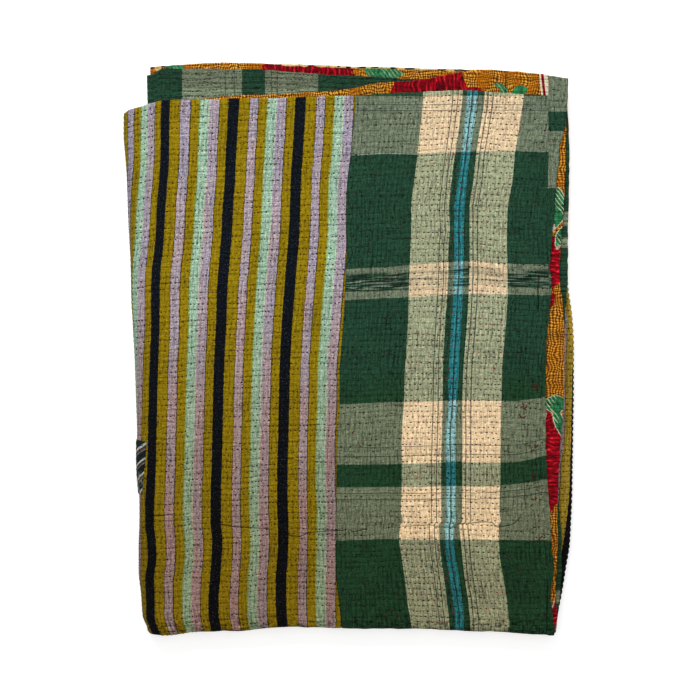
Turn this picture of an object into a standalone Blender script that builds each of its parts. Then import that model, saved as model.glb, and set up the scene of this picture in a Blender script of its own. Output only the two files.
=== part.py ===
"""Kantha quilt, folded into a stack of eight layers and lying flat.

One hand-quilted cloth, four columns wide and two rows long. It is folded three
times: the far half of its width goes under, then its lower row goes under, then the
left half of the stack goes under. The model is that cloth as one solid sheet on all
three folds, with its uneven edges and its rows of quilting, and the small patch that
is sewn over the outer fold.

Units are metres, +Z is up, and the stack's box stands centred on the origin.
"""
import math

import bmesh
import bpy
import numpy as np

# Driving dimensions of the cloth, in metres
COLUMN_WIDTH = 0.545     # width of one of the four columns
ROW_LENGTH = 0.690       # length of one of the two rows
CLOTH_THICK = 0.0030     # quilted cloth, puckers included
LAYER_PITCH = 0.0038     # from one layer's middle to the next one's
OUTER_RADIUS = 3.5 * LAYER_PITCH    # of the fold round all eight layers
STRIP_WIDTH = 0.024      # strip sewn along the first hem, longer than its panel
STRIP_SEAM = 0.003       # width over which the top edge steps up to the strip

# Rough place and size of the stack, for reading the tables below
STACK_LEFT = -0.284
STACK_BOTTOM = -0.362
STACK_LENGTH = 0.700

# Quilting rows, raised on the top layer
QUILT_ROWS = 8           # rows of stitches in each step down a row of the cloth
QUILT_RISE = 0.00030     # how far the cloth stands above or below its middle
QUILT_FADE = 0.010       # distance over which the rows flatten out before a fold
TOP_SHARE = 0.9999       # a point this far round every fold lies on the top layer
SWELL_RISE = 0.0026      # how much plumper the stack is along its folds
SWELL_REACH = 0.075      # how far in from an edge that plumpness reaches
WAVE_X = 9.0             # radians a metre of the stack's broad unevenness
WAVE_Y = 7.0

# Faces along the cloth
OUTER_STEPS = 5          # across an outer column, between its hem and its fold
INNER_STEPS = 4          # across a middle column, between its folds
ROW_STEPS = 12           # down a row
FOLD_STEPS = 6           # round the two folds that carry several layers
HEM_FOLD_STEPS = 4       # round the first fold, which is a single sheet's

# The small patch over the outer fold, whose inner edge slants away down the fold
PATCH_THICK = 0.0010
PATCH_GAP = 0.0005
PATCH_START = 0.428      # its upper edge, down the cloth from the top edge
PATCH_LENGTH = 0.074
PATCH_ON_TOP = 0.002     # how far its upper corner comes onto the top layer
PATCH_SLANT = 0.012      # how far its inner edge falls back by its lower end
PATCH_UNDER = 0.011      # how far it goes on past the fold's outermost line
PATCH_STEPS_ROUND = 8
PATCH_STEPS_DOWN = 8
NEARBY = 0.0002          # small step for measuring which way the cloth faces

MM = 0.001

# Sides of the stack, in millimetres: the place along Y, then X of each layer's edge
SIDE_COLUMNS = ("y", "outer_fold", "second_fold", "third_fold", "inner_fold",
                "hem_1", "hem_2", "hem_3", "hem_4", "right_fold", "low_right_fold")
SIDE_EDGES = (
    (362, -284, -270, -255, -251, 277, 275, 276, 272, 271, 268),
    (310, -284, -270, -254, -250, 276, 274, 276, 272, 271, 268),
    (280, -282, -268, -253, -250, 273, 274, 278, 274, 272, 269),
    (250, -280, -267, -253, -249, 267, 274, 279, 275, 273, 270),
    (188, -278, -266, -253, -249, 261, 272, 278, 274, 273, 270),
    (125, -275, -264, -252, -248, 256, 268, 277, 273, 274, 271),
    (75, -274, -263, -251, -247, 257, 270, 277, 272, 276, 272),
    (38, -272, -262, -251, -246, 253, 272, 273, 268, 281, 276),
    (0, -270, -261, -250, -246, 250, 273, 272, 267, 283, 278),
    (-64, -268, -260, -249, -245, 248, 270, 269, 264, 283, 279),
    (-127, -266, -258, -248, -244, 249, 267, 267, 262, 282, 278),
    (-190, -263, -256, -247, -243, 252, 264, 268, 263, 281, 277),
    (-253, -263, -255, -246, -242, 256, 265, 269, 264, 278, 275),
    (-285, -262, -254, -245, -241, 259, 263, 269, 264, 273, 271),
    (-316, -259, -252, -244, -240, 255, 262, 267, 262, 268, 266),
    (-345, -254, -248, -242, -238, 258, 263, 264, 260, 262, 261),
    (-362, -248, -244, -240, -236, 260, 262, 262, 259, 259, 258),
)

# Ends of the stack, in millimetres: the place along X, then Y of each layer's edge
END_COLUMNS = ("x", "top_1", "top_2", "top_3", "top_4", "bottom")
END_EDGES = (
    (-284, 298, 300, 346, 357, -358),
    (-275, 304, 302, 346, 357, -359),
    (-250, 309, 306, 347, 357, -360),
    (-233, 314, 310, 354, 358, -361),
    (-185, 315, 316, 354, 361, -356),
    (-140, 316, 320, 354, 362, -355),
    (-82, 317, 322, 351, 360, -350),
    (-35, 319, 325, 347, 359, -351),
    (5, 320, 329, 345, 357, -352),
    (35, 321, 336, 344, 357, -352),
    (82, 323, 339, 341, 355, -352),
    (130, 326, 347, 341, 354, -354),
    (160, 326, 353, 340, 353, -355),
    (200, 323, 351, 340, 351, -357),
    (250, 320, 347, 340, 346, -360),
    (253, 343, 346, 340, 346, -361),
    (283, 340, 341, 339, 340, -361),
)

# Which edge curves bound each layer, from the top of the stack down
LAYER_COLUMNS = ("left", "right", "top")
LAYERS = (
    ("outer_fold", "hem_1", "top_1"),
    ("second_fold", "hem_2", "top_2"),
    ("third_fold", "hem_3", "top_3"),
    ("inner_fold", "hem_4", "top_4"),
    ("inner_fold", "right_fold", "top_4"),
    ("third_fold", "right_fold", "top_3"),
    ("second_fold", "low_right_fold", "top_2"),
    ("outer_fold", "low_right_fold", "top_1"),
)

CLOTH_COLOUR = (0.12, 0.19, 0.10, 1.0)
PATCH_COLOUR = (0.02, 0.03, 0.06, 1.0)
CLOTH_ROUGHNESS = 0.9


def clear_scene():
    """Remove whatever objects the file opens with."""
    for item in list(bpy.data.objects):
        bpy.data.objects.remove(item, do_unlink=True)


def cloth_material(name, colour):
    """A dull woven cotton of one colour."""
    material = bpy.data.materials.new(name)
    material.use_nodes = True
    shader = material.node_tree.nodes["Principled BSDF"]
    shader.inputs["Base Color"].default_value = colour
    shader.inputs["Roughness"].default_value = CLOTH_ROUGHNESS
    shader.inputs["Metallic"].default_value = 0.0
    return material


def edge_curve(rows, columns, name, place):
    """Read one named edge at each place, in metres.

    The edge is a run of cubic curves through its rows. Its slope at a row is the
    harmonic mean of the slopes on the two sides, or level where they disagree, so the
    curve never swings past a row.
    """
    table = np.array(sorted(rows), dtype=float) * MM
    stations = table[:, 0]
    values = table[:, columns.index(name)]
    spans = np.diff(stations)
    rises = np.diff(values) / spans
    agree = rises[:-1] * rises[1:]
    total = np.where(agree > 0.0, rises[:-1] + rises[1:], 1.0)
    slopes = np.zeros_like(values)
    slopes[1:-1] = np.where(agree > 0.0, 2.0 * agree / total, 0.0)
    row = np.clip(np.searchsorted(stations, place) - 1, 0, len(spans) - 1)
    share = np.clip((place - stations[row]) / spans[row], 0.0, 1.0)
    ease = share * share * (3.0 - 2.0 * share)
    start = share * (1.0 - share) ** 2 * spans[row] * slopes[row]
    end = share ** 2 * (share - 1.0) * spans[row] * slopes[row + 1]
    return values[row] * (1.0 - ease) + values[row + 1] * ease + start + end


def fold_back(run, radius):
    """Bend a flat run of cloth back under itself, keeping its length.

    run is the distance along the cloth from the fold line, negative for the part that
    goes under. Returns the distance in from the fold's axis, the height above the
    axis, and the share of the turn: 1 on the upper side, -1 on the lower.
    """
    quarter = 0.5 * math.pi * radius
    angle = np.clip(run / radius, -0.5 * math.pi, 0.5 * math.pi)
    beyond = np.maximum(np.abs(run) - quarter, 0.0)
    distance = beyond - radius * np.cos(angle)
    return distance, radius * np.sin(angle), np.sin(angle)


def by_layer(shares, values):
    """Blend the eight layers' values by how far a point has turned round each fold."""
    first, second, third = (0.5 + 0.5 * share for share in shares)
    near, far = first, 1.0 - first
    upper = (second * (near * values[0] + far * values[1])
             + (1.0 - second) * (far * values[2] + near * values[3]))
    lower = (second * (near * values[7] + far * values[6])
             + (1.0 - second) * (near * values[4] + far * values[5]))
    return third * upper + (1.0 - third) * lower


def swell(x, y):
    """Extra plumpness of the stack: most at the folds on the left and at the bottom."""
    from_left = np.clip((x - STACK_LEFT) / SWELL_REACH, 0.0, 1.0)
    from_bottom = np.clip((y - STACK_BOTTOM) / SWELL_REACH, 0.0, 1.0)
    left = 0.5 + 0.5 * np.cos(math.pi * from_left)
    bottom = 0.5 + 0.5 * np.cos(math.pi * from_bottom)
    broad = 0.25 + 0.25 * np.sin(WAVE_X * x + 1.0) * np.cos(WAVE_Y * y + 0.4)
    return SWELL_RISE * np.maximum(np.maximum(left, bottom), broad)


def fold_cloth(across, along):
    """Carry points of the flat cloth onto the folded stack's middle surface.

    across runs from the first hem over the four columns, along runs down the two rows.
    Three folds are made in turn, each with its own radius for every layer inside it,
    and then the layers are fitted to the uneven edges in the tables.
    """
    half = 0.5 * LAYER_PITCH
    hem_radius = np.full_like(across, half)
    reach_1, height_1, share_1 = fold_back(2.0 * COLUMN_WIDTH - across, hem_radius)
    radius_2 = height_1 + LAYER_PITCH
    reach_2, height_2, share_2 = fold_back(ROW_LENGTH - along, radius_2)
    radius_3 = height_2 + 2.0 * LAYER_PITCH
    reach_3, height_3, share_3 = fold_back(reach_1 - COLUMN_WIDTH, radius_3)
    shares = (share_1, share_2, share_3)

    hem_reach = COLUMN_WIDTH - math.pi * half / 2.0 - math.pi * radius_3 / 2.0
    fold_reach = COLUMN_WIDTH + half - math.pi * radius_3 / 2.0
    upper = 0.5 + 0.5 * share_3
    full_reach = upper * hem_reach + (1.0 - upper) * fold_reach
    full_length = ROW_LENGTH - math.pi * radius_2 / 2.0
    rough_y = STACK_BOTTOM + reach_2 * STACK_LENGTH / full_length

    lefts = [edge_curve(SIDE_EDGES, SIDE_COLUMNS, row[0], rough_y) for row in LAYERS]
    rights = [edge_curve(SIDE_EDGES, SIDE_COLUMNS, row[1], rough_y) for row in LAYERS]
    left = by_layer(shares, lefts) + 0.5 * CLOTH_THICK
    right = by_layer(shares, rights)
    left_axis = left + radius_3
    in_from_left = np.maximum(reach_3, 0.0)
    x = left_axis + reach_3 + in_from_left * ((right - left_axis) / full_reach - 1.0)

    tops = [edge_curve(END_EDGES, END_COLUMNS, row[2], x) for row in LAYERS]
    top = by_layer(shares, tops)
    bottom = edge_curve(END_EDGES, END_COLUMNS, "bottom", x) + 0.5 * CLOTH_THICK
    bottom_axis = bottom + 1.5 * LAYER_PITCH
    in_from_bottom = np.maximum(reach_2, 0.0)
    y = bottom_axis + reach_2 + in_from_bottom * ((top - bottom_axis) / full_length - 1.0)

    level = (height_3 + OUTER_RADIUS) / (2.0 * OUTER_RADIUS)
    on_top = np.minimum(np.minimum(share_1, share_2), share_3) > TOP_SHARE
    before_folds = np.minimum(reach_2, reach_3) / QUILT_FADE
    uneven = (0.8 + 0.2 * np.sin(23.0 * x + 11.0 * y)) * np.clip(before_folds, 0.0, 1.0) * on_top
    quilting = QUILT_RISE * uneven * np.cos(2.0 * math.pi * along / quilt_pitch())
    z = 0.5 * CLOTH_THICK + height_3 + OUTER_RADIUS + level * swell(x, y) + quilting
    return np.column_stack((x, y, z))


def quilt_pitch():
    """Distance from one row of quilting to the next on the top layer."""
    flat_length = ROW_LENGTH - 0.75 * math.pi * LAYER_PITCH
    return flat_length / (ROW_STEPS * QUILT_ROWS)


def spread(start, end, steps):
    """Evenly spaced values after start, up to and with end."""
    return list(np.linspace(start, end, steps + 1)[1:])


def row_lines(radius):
    """Places down the cloth of the grid's lines, for a lower fold of this radius."""
    quarter = 0.5 * math.pi * radius
    lines = [0.0] + spread(0.0, ROW_LENGTH - quarter, ROW_STEPS)
    lines += spread(ROW_LENGTH - quarter, ROW_LENGTH + quarter, FOLD_STEPS)
    return lines + spread(ROW_LENGTH + quarter, 2.0 * ROW_LENGTH, ROW_STEPS)


def column_lines(radius_near, radius_far):
    """Places across the cloth of the grid's lines, for these radii at the two left folds."""
    near = 0.5 * math.pi * radius_near
    far = 0.5 * math.pi * radius_far
    single = 0.5 * math.pi * 0.5 * LAYER_PITCH
    left_1 = COLUMN_WIDTH - single
    right = 2.0 * COLUMN_WIDTH
    left_2 = 3.0 * COLUMN_WIDTH + single
    lines = [0.0, STRIP_WIDTH, STRIP_WIDTH + STRIP_SEAM]
    lines += spread(STRIP_WIDTH + STRIP_SEAM, left_1 - near, OUTER_STEPS)
    lines += spread(left_1 - near, left_1 + near, FOLD_STEPS)
    lines += spread(left_1 + near, right - single, INNER_STEPS)
    lines += spread(right - single, right + single, HEM_FOLD_STEPS)
    lines += spread(right + single, left_2 - far, INNER_STEPS)
    lines += spread(left_2 - far, left_2 + far, FOLD_STEPS)
    return lines + spread(left_2 + far, 4.0 * COLUMN_WIDTH, OUTER_STEPS)


def flat_cloth():
    """The flat cloth as a grid whose lines are close together where it will fold."""
    count_x = len(column_lines(LAYER_PITCH, LAYER_PITCH)) - 1
    count_y = len(row_lines(LAYER_PITCH)) - 1
    sheet = bmesh.new()
    bmesh.ops.create_grid(sheet, x_segments=count_x, y_segments=count_y, size=0.5)
    sheet.verts.ensure_lookup_table()
    places = np.array([vert.co[:2] for vert in sheet.verts])
    index_x = np.rint((places[:, 0] + 0.5) * count_x).astype(int)
    index_y = np.rint((0.5 - places[:, 1]) * count_y).astype(int)

    half = 0.5 * LAYER_PITCH
    middle = np.array(column_lines(LAYER_PITCH, LAYER_PITCH))
    height_1 = fold_back(2.0 * COLUMN_WIDTH - middle, half)[1]
    radius_2 = height_1 + LAYER_PITCH
    rows = np.array([row_lines(radius) for radius in radius_2])
    along = rows[index_x, index_y]
    height_2 = fold_back(ROW_LENGTH - along, radius_2[index_x])[1]
    radius_3 = height_2 + 2.0 * LAYER_PITCH
    for vert, place_x, place_y, radius in zip(sheet.verts, index_x, along, radius_3):
        vert.co = (column_lines(radius, radius)[place_x], place_y, 0.0)
    return sheet


def add_quilting_rows(sheet):
    """Cut the top layer's faces into rows, two to each pitch of the quilting."""
    into_left_fold = 1.9 * math.pi * LAYER_PITCH
    into_lower_fold = 0.7 * math.pi * LAYER_PITCH
    flat_end = COLUMN_WIDTH - into_left_fold
    row_end = ROW_LENGTH - into_lower_fold
    chosen = []
    for edge in sheet.edges:
        first, second = edge.verts
        down = abs(first.co.x - second.co.x) < abs(first.co.y - second.co.y)
        inside = max(first.co.x, second.co.x) < flat_end
        above = max(first.co.y, second.co.y) < row_end
        if down and inside and above:
            chosen.append(edge)
    bmesh.ops.subdivide_edges(sheet, edges=chosen, cuts=2 * QUILT_ROWS - 1, use_grid_fill=True)


def new_object(name, sheet, material, collection):
    """Put a bmesh into an object of its own, in the quilt's collection."""
    mesh = bpy.data.meshes.new(name)
    sheet.to_mesh(mesh)
    sheet.free()
    mesh.materials.append(material)
    item = bpy.data.objects.new(name, mesh)
    collection.objects.link(item)
    return item


def thicken(item, thickness, side):
    """Give an open sheet its thickness; side is 0 for both ways, 1 for outwards."""
    solid = item.modifiers.new("cloth thickness", "SOLIDIFY")
    solid.thickness = thickness
    solid.offset = side
    solid.use_even_offset = True


def make_quilt(collection):
    """The folded quilt: the flat cloth, cut into rows, folded and given its thickness."""
    sheet = flat_cloth()
    add_quilting_rows(sheet)
    flat = np.array([vert.co for vert in sheet.verts])
    folded = fold_cloth(flat[:, 0], flat[:, 1])
    for vert, place in zip(sheet.verts, folded):
        vert.co = place
    bmesh.ops.recalc_face_normals(sheet, faces=sheet.faces)
    quilt = new_object("quilt", sheet, cloth_material("quilted cotton", CLOTH_COLOUR), collection)
    thicken(quilt, CLOTH_THICK, 0.0)
    return quilt


def on_outer_fold(across, along, lift):
    """Points lifted off the outer fold, which runs straight between its grid's rows."""
    step = quilt_pitch() * QUILT_ROWS

    def straight_between_rows(across, along):
        row = np.floor(along / step)
        share = (along / step - row)[:, None]
        above = fold_cloth(across, row * step)
        below = fold_cloth(across, (row + 1.0) * step)
        return above * (1.0 - share) + below * share

    place = straight_between_rows(across, along)
    round_fold = straight_between_rows(across + NEARBY, along) - place
    down_fold = straight_between_rows(across, along + NEARBY) - place
    facing = np.cross(round_fold, down_fold)
    facing /= np.linalg.norm(facing, axis=1)[:, None]
    return place + lift * facing


def make_patch(collection):
    """The small four-sided patch sewn over the outer fold, a little off the cloth."""
    sheet = bmesh.new()
    bmesh.ops.create_grid(sheet, x_segments=PATCH_STEPS_ROUND, y_segments=PATCH_STEPS_DOWN, size=0.5)
    share = np.array([vert.co[:2] for vert in sheet.verts])
    round_share = share[:, 0] + 0.5
    down_share = 0.5 - share[:, 1]
    fold_line = COLUMN_WIDTH - 0.25 * math.pi * LAYER_PITCH
    quarter = 0.5 * math.pi * OUTER_RADIUS
    inner = fold_line - quarter - PATCH_ON_TOP + PATCH_SLANT * down_share
    across = inner + (fold_line + PATCH_UNDER - inner) * round_share
    along = PATCH_START + PATCH_LENGTH * down_share
    lift = 0.5 * CLOTH_THICK + PATCH_GAP + 0.5 * PATCH_THICK
    for vert, place in zip(sheet.verts, on_outer_fold(across, along, lift)):
        vert.co = place
    patch = new_object("fold_patch", sheet, cloth_material("printed cotton", PATCH_COLOUR), collection)
    thicken(patch, PATCH_THICK, 0.0)
    return patch


def centre_on_origin(items):
    """Shift the meshes so the stack's box stands on the origin."""
    bpy.context.view_layer.update()
    graph = bpy.context.evaluated_depsgraph_get()
    corners = []
    for item in items:
        mesh = item.evaluated_get(graph).to_mesh()
        places = np.empty(len(mesh.vertices) * 3)
        mesh.vertices.foreach_get("co", places)
        corners.append(places.reshape(-1, 3))
    points = np.vstack(corners)
    low, high = points.min(axis=0), points.max(axis=0)
    shift = np.array((-0.5 * (low[0] + high[0]), -0.5 * (low[1] + high[1]), -low[2]))
    for item in items:
        for vert in item.data.vertices:
            vert.co = tuple(np.array(vert.co) + shift)


def main():
    clear_scene()
    collection = bpy.data.collections.new("kantha quilt")
    bpy.context.scene.collection.children.link(collection)
    quilt = make_quilt(collection)
    patch = make_patch(collection)
    centre_on_origin([quilt, patch])


main()
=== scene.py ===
"""Looks of a kantha quilt, folded in eight and lying flat.

Every cloth piece is a closed thin sheet on the quilt's own folds, worked out from the
flat cloth: across runs over its four columns, along runs down its two rows, and three
folds carry both onto the stack. Lengths are in metres.
"""
import math

import bpy
import numpy as np
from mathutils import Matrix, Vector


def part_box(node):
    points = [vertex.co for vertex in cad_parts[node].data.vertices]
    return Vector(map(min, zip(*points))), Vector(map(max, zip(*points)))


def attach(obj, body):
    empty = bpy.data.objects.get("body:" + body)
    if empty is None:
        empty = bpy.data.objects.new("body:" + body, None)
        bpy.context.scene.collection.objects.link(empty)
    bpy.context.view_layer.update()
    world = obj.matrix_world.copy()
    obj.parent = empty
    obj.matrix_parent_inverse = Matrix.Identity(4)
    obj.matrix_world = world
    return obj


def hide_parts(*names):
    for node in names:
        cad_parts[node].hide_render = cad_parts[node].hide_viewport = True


bl_info = {
    "name": "Kantha Quilt",
    "version": (1, 0, 0),
    "blender": (4, 5, 0),
    "location": "View3D > Sidebar > Quilt",
    "description": "Dresses a folded kantha quilt with its patchwork, print and stitches",
    "category": "Object",
}

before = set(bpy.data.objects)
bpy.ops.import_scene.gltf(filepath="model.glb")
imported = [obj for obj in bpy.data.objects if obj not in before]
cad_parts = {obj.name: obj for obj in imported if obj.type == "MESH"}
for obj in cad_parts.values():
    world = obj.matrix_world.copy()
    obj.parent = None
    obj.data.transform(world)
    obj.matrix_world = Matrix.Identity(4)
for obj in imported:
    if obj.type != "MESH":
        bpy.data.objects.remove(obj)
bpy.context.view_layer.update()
QUILT_BOX = [list(corner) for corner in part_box("quilt")]

MM = 0.001
ROOT = "root"
SEED = 7

# Folded cloth
COLUMN_WIDTH = 0.545
ROW_LENGTH = 0.690
CLOTH_THICK = 0.0030
LAYER_PITCH = 0.0038
OUTER_RADIUS = 3.5 * LAYER_PITCH
ROW_STEPS = 12
QUILT_ROWS = 8
QUILT_PITCH = (ROW_LENGTH - 0.75 * math.pi * LAYER_PITCH) / (ROW_STEPS * QUILT_ROWS)
SINGLE = 0.25 * math.pi * LAYER_PITCH    # quarter turn of the one-sheet fold
LEFT_FOLD = COLUMN_WIDTH - SINGLE
RIGHT_FOLD = 2.0 * COLUMN_WIDTH
FAR_LEFT_FOLD = 3.0 * COLUMN_WIDTH + SINGLE
FULL_WIDTH = 4.0 * COLUMN_WIDTH
FULL_LENGTH = 2.0 * ROW_LENGTH

# Rough place and size of the stack, for reading the tables below
STACK_LEFT = -0.284
STACK_BOTTOM = -0.362
STACK_LENGTH = 0.700

# Extra plumpness: its height, how far it reaches in from a fold, and its broad waves
SWELL_RISE = 0.0026
SWELL_REACH = 0.075
WAVE_X = 9.0
WAVE_Y = 7.0

# Sides of the stack, in millimetres: the place along Y, then X of each layer's edge
SIDE_COLUMNS = ("y", "outer_fold", "second_fold", "third_fold", "inner_fold",
                "hem_1", "hem_2", "hem_3", "hem_4", "right_fold", "low_right_fold")
SIDE_EDGES = (
    (362, -284, -270, -255, -251, 277, 275, 276, 272, 271, 268),
    (310, -284, -270, -254, -250, 276, 274, 276, 272, 271, 268),
    (280, -282, -268, -253, -250, 273, 274, 278, 274, 272, 269),
    (250, -280, -267, -253, -249, 267, 274, 279, 275, 273, 270),
    (188, -278, -266, -253, -249, 261, 272, 278, 274, 273, 270),
    (125, -275, -264, -252, -248, 256, 268, 277, 273, 274, 271),
    (98, -274.5, -263.5, -251.5, -247.5, 254, 266, 277, 272.5, 275, 271.5),
    (75, -274, -263, -251, -247, 256.5, 267, 276, 272, 276, 272),
    (60, -273, -262.5, -251, -246.5, 255, 269, 275, 270, 278, 274),
    (38, -272, -262, -251, -246, 253, 271.5, 273, 268, 281, 276),
    (0, -270, -261, -250, -246, 250, 272.5, 272, 267, 283, 278),
    (-64, -268, -260, -249, -245, 248, 271.5, 266, 263, 283, 279),
    (-95, -267, -259, -248.5, -244.5, 248.5, 270.5, 265, 262, 282.5, 278.5),
    (-127, -267, -258, -248, -244, 249, 267, 264, 261, 282, 278),
    (-150, -266.6, -257.3, -247.6, -243.6, 250, 266, 263.6, 261, 281.6, 277.6),
    (-190, -264, -256, -247, -243, 252, 264, 263, 261, 281, 277),
    (-215, -264, -256, -247, -243, 254, 263.3, 267, 262, 280, 276),
    (-253, -265, -255, -246, -242, 256, 264, 269, 264, 278, 275),
    (-285, -265, -254, -245, -241, 259, 262.3, 269, 264, 273, 271),
    (-316, -262, -252, -244, -240, 255, 261, 267, 262, 268, 266),
    (-345, -260, -248, -242, -238, 258, 263, 264, 260, 262, 261),
    (-362, -254, -244, -240, -236, 260, 262, 262, 259, 259, 258),
)

# Ends of the stack, in millimetres: the place along X, then Y of each layer's edge
END_COLUMNS = ("x", "top_1", "top_2", "top_3", "top_4", "bottom")
END_EDGES = (
    (-284, 298, 300, 346, 357, -358),
    (-275, 302, 302, 346, 357, -359),
    (-262, 306, 304, 346.5, 357, -359.5),
    (-250, 310, 306, 347, 357, -360),
    (-233, 314, 310, 354, 358, -361),
    (-185, 315, 316, 354, 361, -356),
    (-140, 316, 320, 354, 362, -355),
    (-82, 317, 322, 351, 360, -350),
    (-35, 319, 325, 347, 359, -351),
    (5, 320, 329, 345, 357, -352),
    (35, 321.7, 336, 344, 357, -352),
    (82, 324, 339, 341, 355, -352),
    (130, 326, 347, 341, 354, -354),
    (160, 326, 353, 340, 353, -355),
    (200, 323, 351, 340, 351, -357),
    (250, 320, 347, 340, 346, -360),
    (253, 345, 345, 340, 344, -361),
    (283, 341, 340, 339, 339, -361),
)

# Which edge curves bound each layer, from the top of the stack down: left, right, top
LAYERS = (
    ("outer_fold", "hem_1", "top_1"),
    ("second_fold", "hem_2", "top_2"),
    ("third_fold", "hem_3", "top_3"),
    ("inner_fold", "hem_4", "top_4"),
    ("inner_fold", "right_fold", "top_4"),
    ("third_fold", "right_fold", "top_3"),
    ("second_fold", "low_right_fold", "top_2"),
    ("outer_fold", "low_right_fold", "top_1"),
)

# Lines of the weave on the top layer, in millimetres: the place along Y, then X. The
# seam is cut a little askew, so seam_place says where on the flat stripes it falls
LINE_COLUMNS = ("y", "black_1", "black_2", "black_3", "panel_seam", "seam_place", "light_1",
                "light_1_end", "blue", "blue_end", "light_2", "light_2_end", "strip_seam")
WOVEN_LINES = (
    (345, -230, -144, -59, 12, 241, 94, 144, 150, 164, 172, 221, 252),
    (319, -230, -144, -60, 10, 240, 94, 143, 149, 163, 171, 220, 252),
    (276, -231, -146, -62, 6, 238, 90, 138, 145, 157, 165, 214, 252),
    (245, -231, -148, -64, 3, 237, 87, 133, 142, 153, 160, 209, 252),
    (213, -233, -149, -66, -1, 237, 83, 129, 138, 149, 157, 206, 251),
    (176, -236, -152, -67, -3, 236, 79, 126, 133, 146, 152, 200, 250),
    (150, -237, -153, -68, -3, 236, 79, 127, 133, 145, 152, 199, 250),
    (125, -239, -155, -70, -2, 238, 78, 125, 133, 145, 152, 199, 251),
    (100, -242, -157, -72, -3, 239, 77, 125, 133, 145, 152, 200, 252),
    (75, -243, -159, -74, -4, 240, 76, 124, 132, 144, 151, 200, 253),
    (37, -243, -160, -77, -6, 241, 75, 121, 130, 142, 149, 198, 250),
    (0, -244, -162, -79, -9, 241, 73, 119, 128, 140, 146, 195, 247),
    (-26, -245, -163, -80, -11, 241, 71, 118, 126, 139, 144, 193, 246),
    (-64, -246, -164, -81, -11, 241, 70, 118, 125, 137, 143, 192, 244),
    (-114, -247, -165, -82, -14, 240, 67, 117, 122, 134, 143, 191, 245),
    (-152, -248, -166, -83, -15, 239, 67, 116, 123, 135, 143, 191, 247),
    (-177, -249, -167, -83, -15, 239, 67, 116, 123, 135, 143, 190, 248),
    (-202, -250, -167, -83, -15, 237, 66, 116, 123, 135, 143, 190, 248),
    (-217, -250, -167, -82, -16, 237, 68, 116, 123, 135, 143, 191, 249),
    (-221, -250, -167, -82, -16, 237, 65, 113, 121, 133, 139, 189, 250),
    (-240, -248, -165, -82, -16, 237, 64, 114, 121, 133, 141, 189, 250),
    (-262, -247, -166, -83, -16, 237, 67, 116, 123, 135, 143, 190, 251),
    (-290, -250, -168, -85, -15, 238, 71, 120, 127, 140, 146, 195, 253),
    (-316, -249, -170, -85, -12, 241, 74, 123, 131, 143, 150, 199, 253),
    (-335, -249, -170, -84, -10, 243, 77, 125, 134, 145, 152, 201, 253),
    (-345, -247, -168, -83, -9, 244, 79, 126, 134, 145, 153, 202, 254),
    (-355, -243, -166, -81, -9, 244, 80, 127, 134, 145, 153, 202, 254),
    (-362, -239, -163, -79, -9, 244, 80, 127, 134, 145, 154, 203, 254),
)

# Where the other lines stand on the flat cloth, in millimetres to the right of black_1
BEFORE_SEAM = (0.0, 85.0, 170.0)
AFTER_SEAM = (321.0, 369.6, 376.3, 388.8, 396.3, 445.4)

# How far the weft of the plaid stands above its level, in millimetres: the place along Y,
# then the rise at each place along X
WEFT_COLUMNS = ("y", 0, 50, 90, 135, 160, 185, 212, 242)
WEFT_RISE = (
    (345, -1.1, -1.1, -1.0, -0.8, -0.8, -0.8, -1.0, -1.5),
    (320, -1.1, -1.1, -1.0, -0.8, -0.8, -0.8, -1.0, -1.5),
    (245, 1.0, 3.2, 2.0, 3.9, 5.0, 5.6, 5.2, 3.7),
    (101, 0.1, 2.9, 5.9, 9.3, 10.6, 7.6, 6.6, 5.9),
    (62, 0.0, 2.8, 4.6, 6.8, 7.8, 7.4, 7.0, 6.4),
    (-69, -0.1, 2.4, 2.4, 5.2, 4.5, 3.9, 4.0, 5.5),
    (-145, -0.4, -0.1, 1.0, 3.1, 2.0, 2.0, 2.6, 5.2),
    (-174, -0.2, 0.3, 0.0, 1.8, 0.4, 1.7, 4.1, 6.4),
    (-240, -0.1, 1.8, 0.8, 0.4, 1.3, 0.6, 0.3, -0.1),
    (-362, 0.0, 0.0, 0.0, 0.0, 0.0, 0.0, 0.0, 0.0),
)

# Where the black stripe meets the right fold: place along Y, millimetres before the fold
# and how closely the next stripes are drawn in beside it, in thousandths
FOLD_COLUMNS = ("y", "before", "crowd")
FOLD_STRIPE = (
    (362, -3, 1400), (38, -1, 1400), (0, 1, 1420), (-30, 1.8, 1420), (-64, 2.2, 1400),
    (-95, 2.4, 1380), (-122, 2.4, 1250), (-137, 2.5, 1000), (-150, 2.6, 900), (-184, 3.2, 880),
    (-215, 5.2, 880), (-246, 7.6, 900), (-265, 9.5, 900), (-316, 12, 900), (-362, 13, 900),
)

# Main creases of the top layer, in millimetres: how deep, and the corners of each line
CREASES = (
    (0.9, ((-245, -210), (-222, -208))),
    (0.3, ((-188, -219), (-173, -220))),
    (0.9, ((-162, -220), (-147, -223), (-135, -224), (-99, -226))),
    (0.5, ((-96, -236), (-89, -236))),
    (0.9, ((-76, -234), (-65, -236), (-58, -235), (-53, -231), (-16, -228), (-6, -228))),
    (0.9, ((3, -228), (6, -230), (22, -226))),
    (0.3, ((26, -221), (50, -220), (65, -222))),
    (0.7, ((70, -223), (103, -221), (115, -224), (135, -224))),
    (0.8, ((139, -220), (153, -219), (172, -217), (180, -218), (188, -224), (201, -222),
           (210, -219), (217, -210))),
    (1.5, ((251, -292), (250, -357))),
    (1.2, ((239, 92), (239, 48))),
    (0.6, ((223, -200), (221, -160))),
    (0.5, ((234, -205), (237, -230))),
)
OUTSIDE = -30.0          # millimetres inside a printed colour, where there is none
BOTH_ENDS = ("first_along", "last_along")
UNDER_RISE = 0.0002      # how far the quilting stands up on the layers underneath
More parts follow.
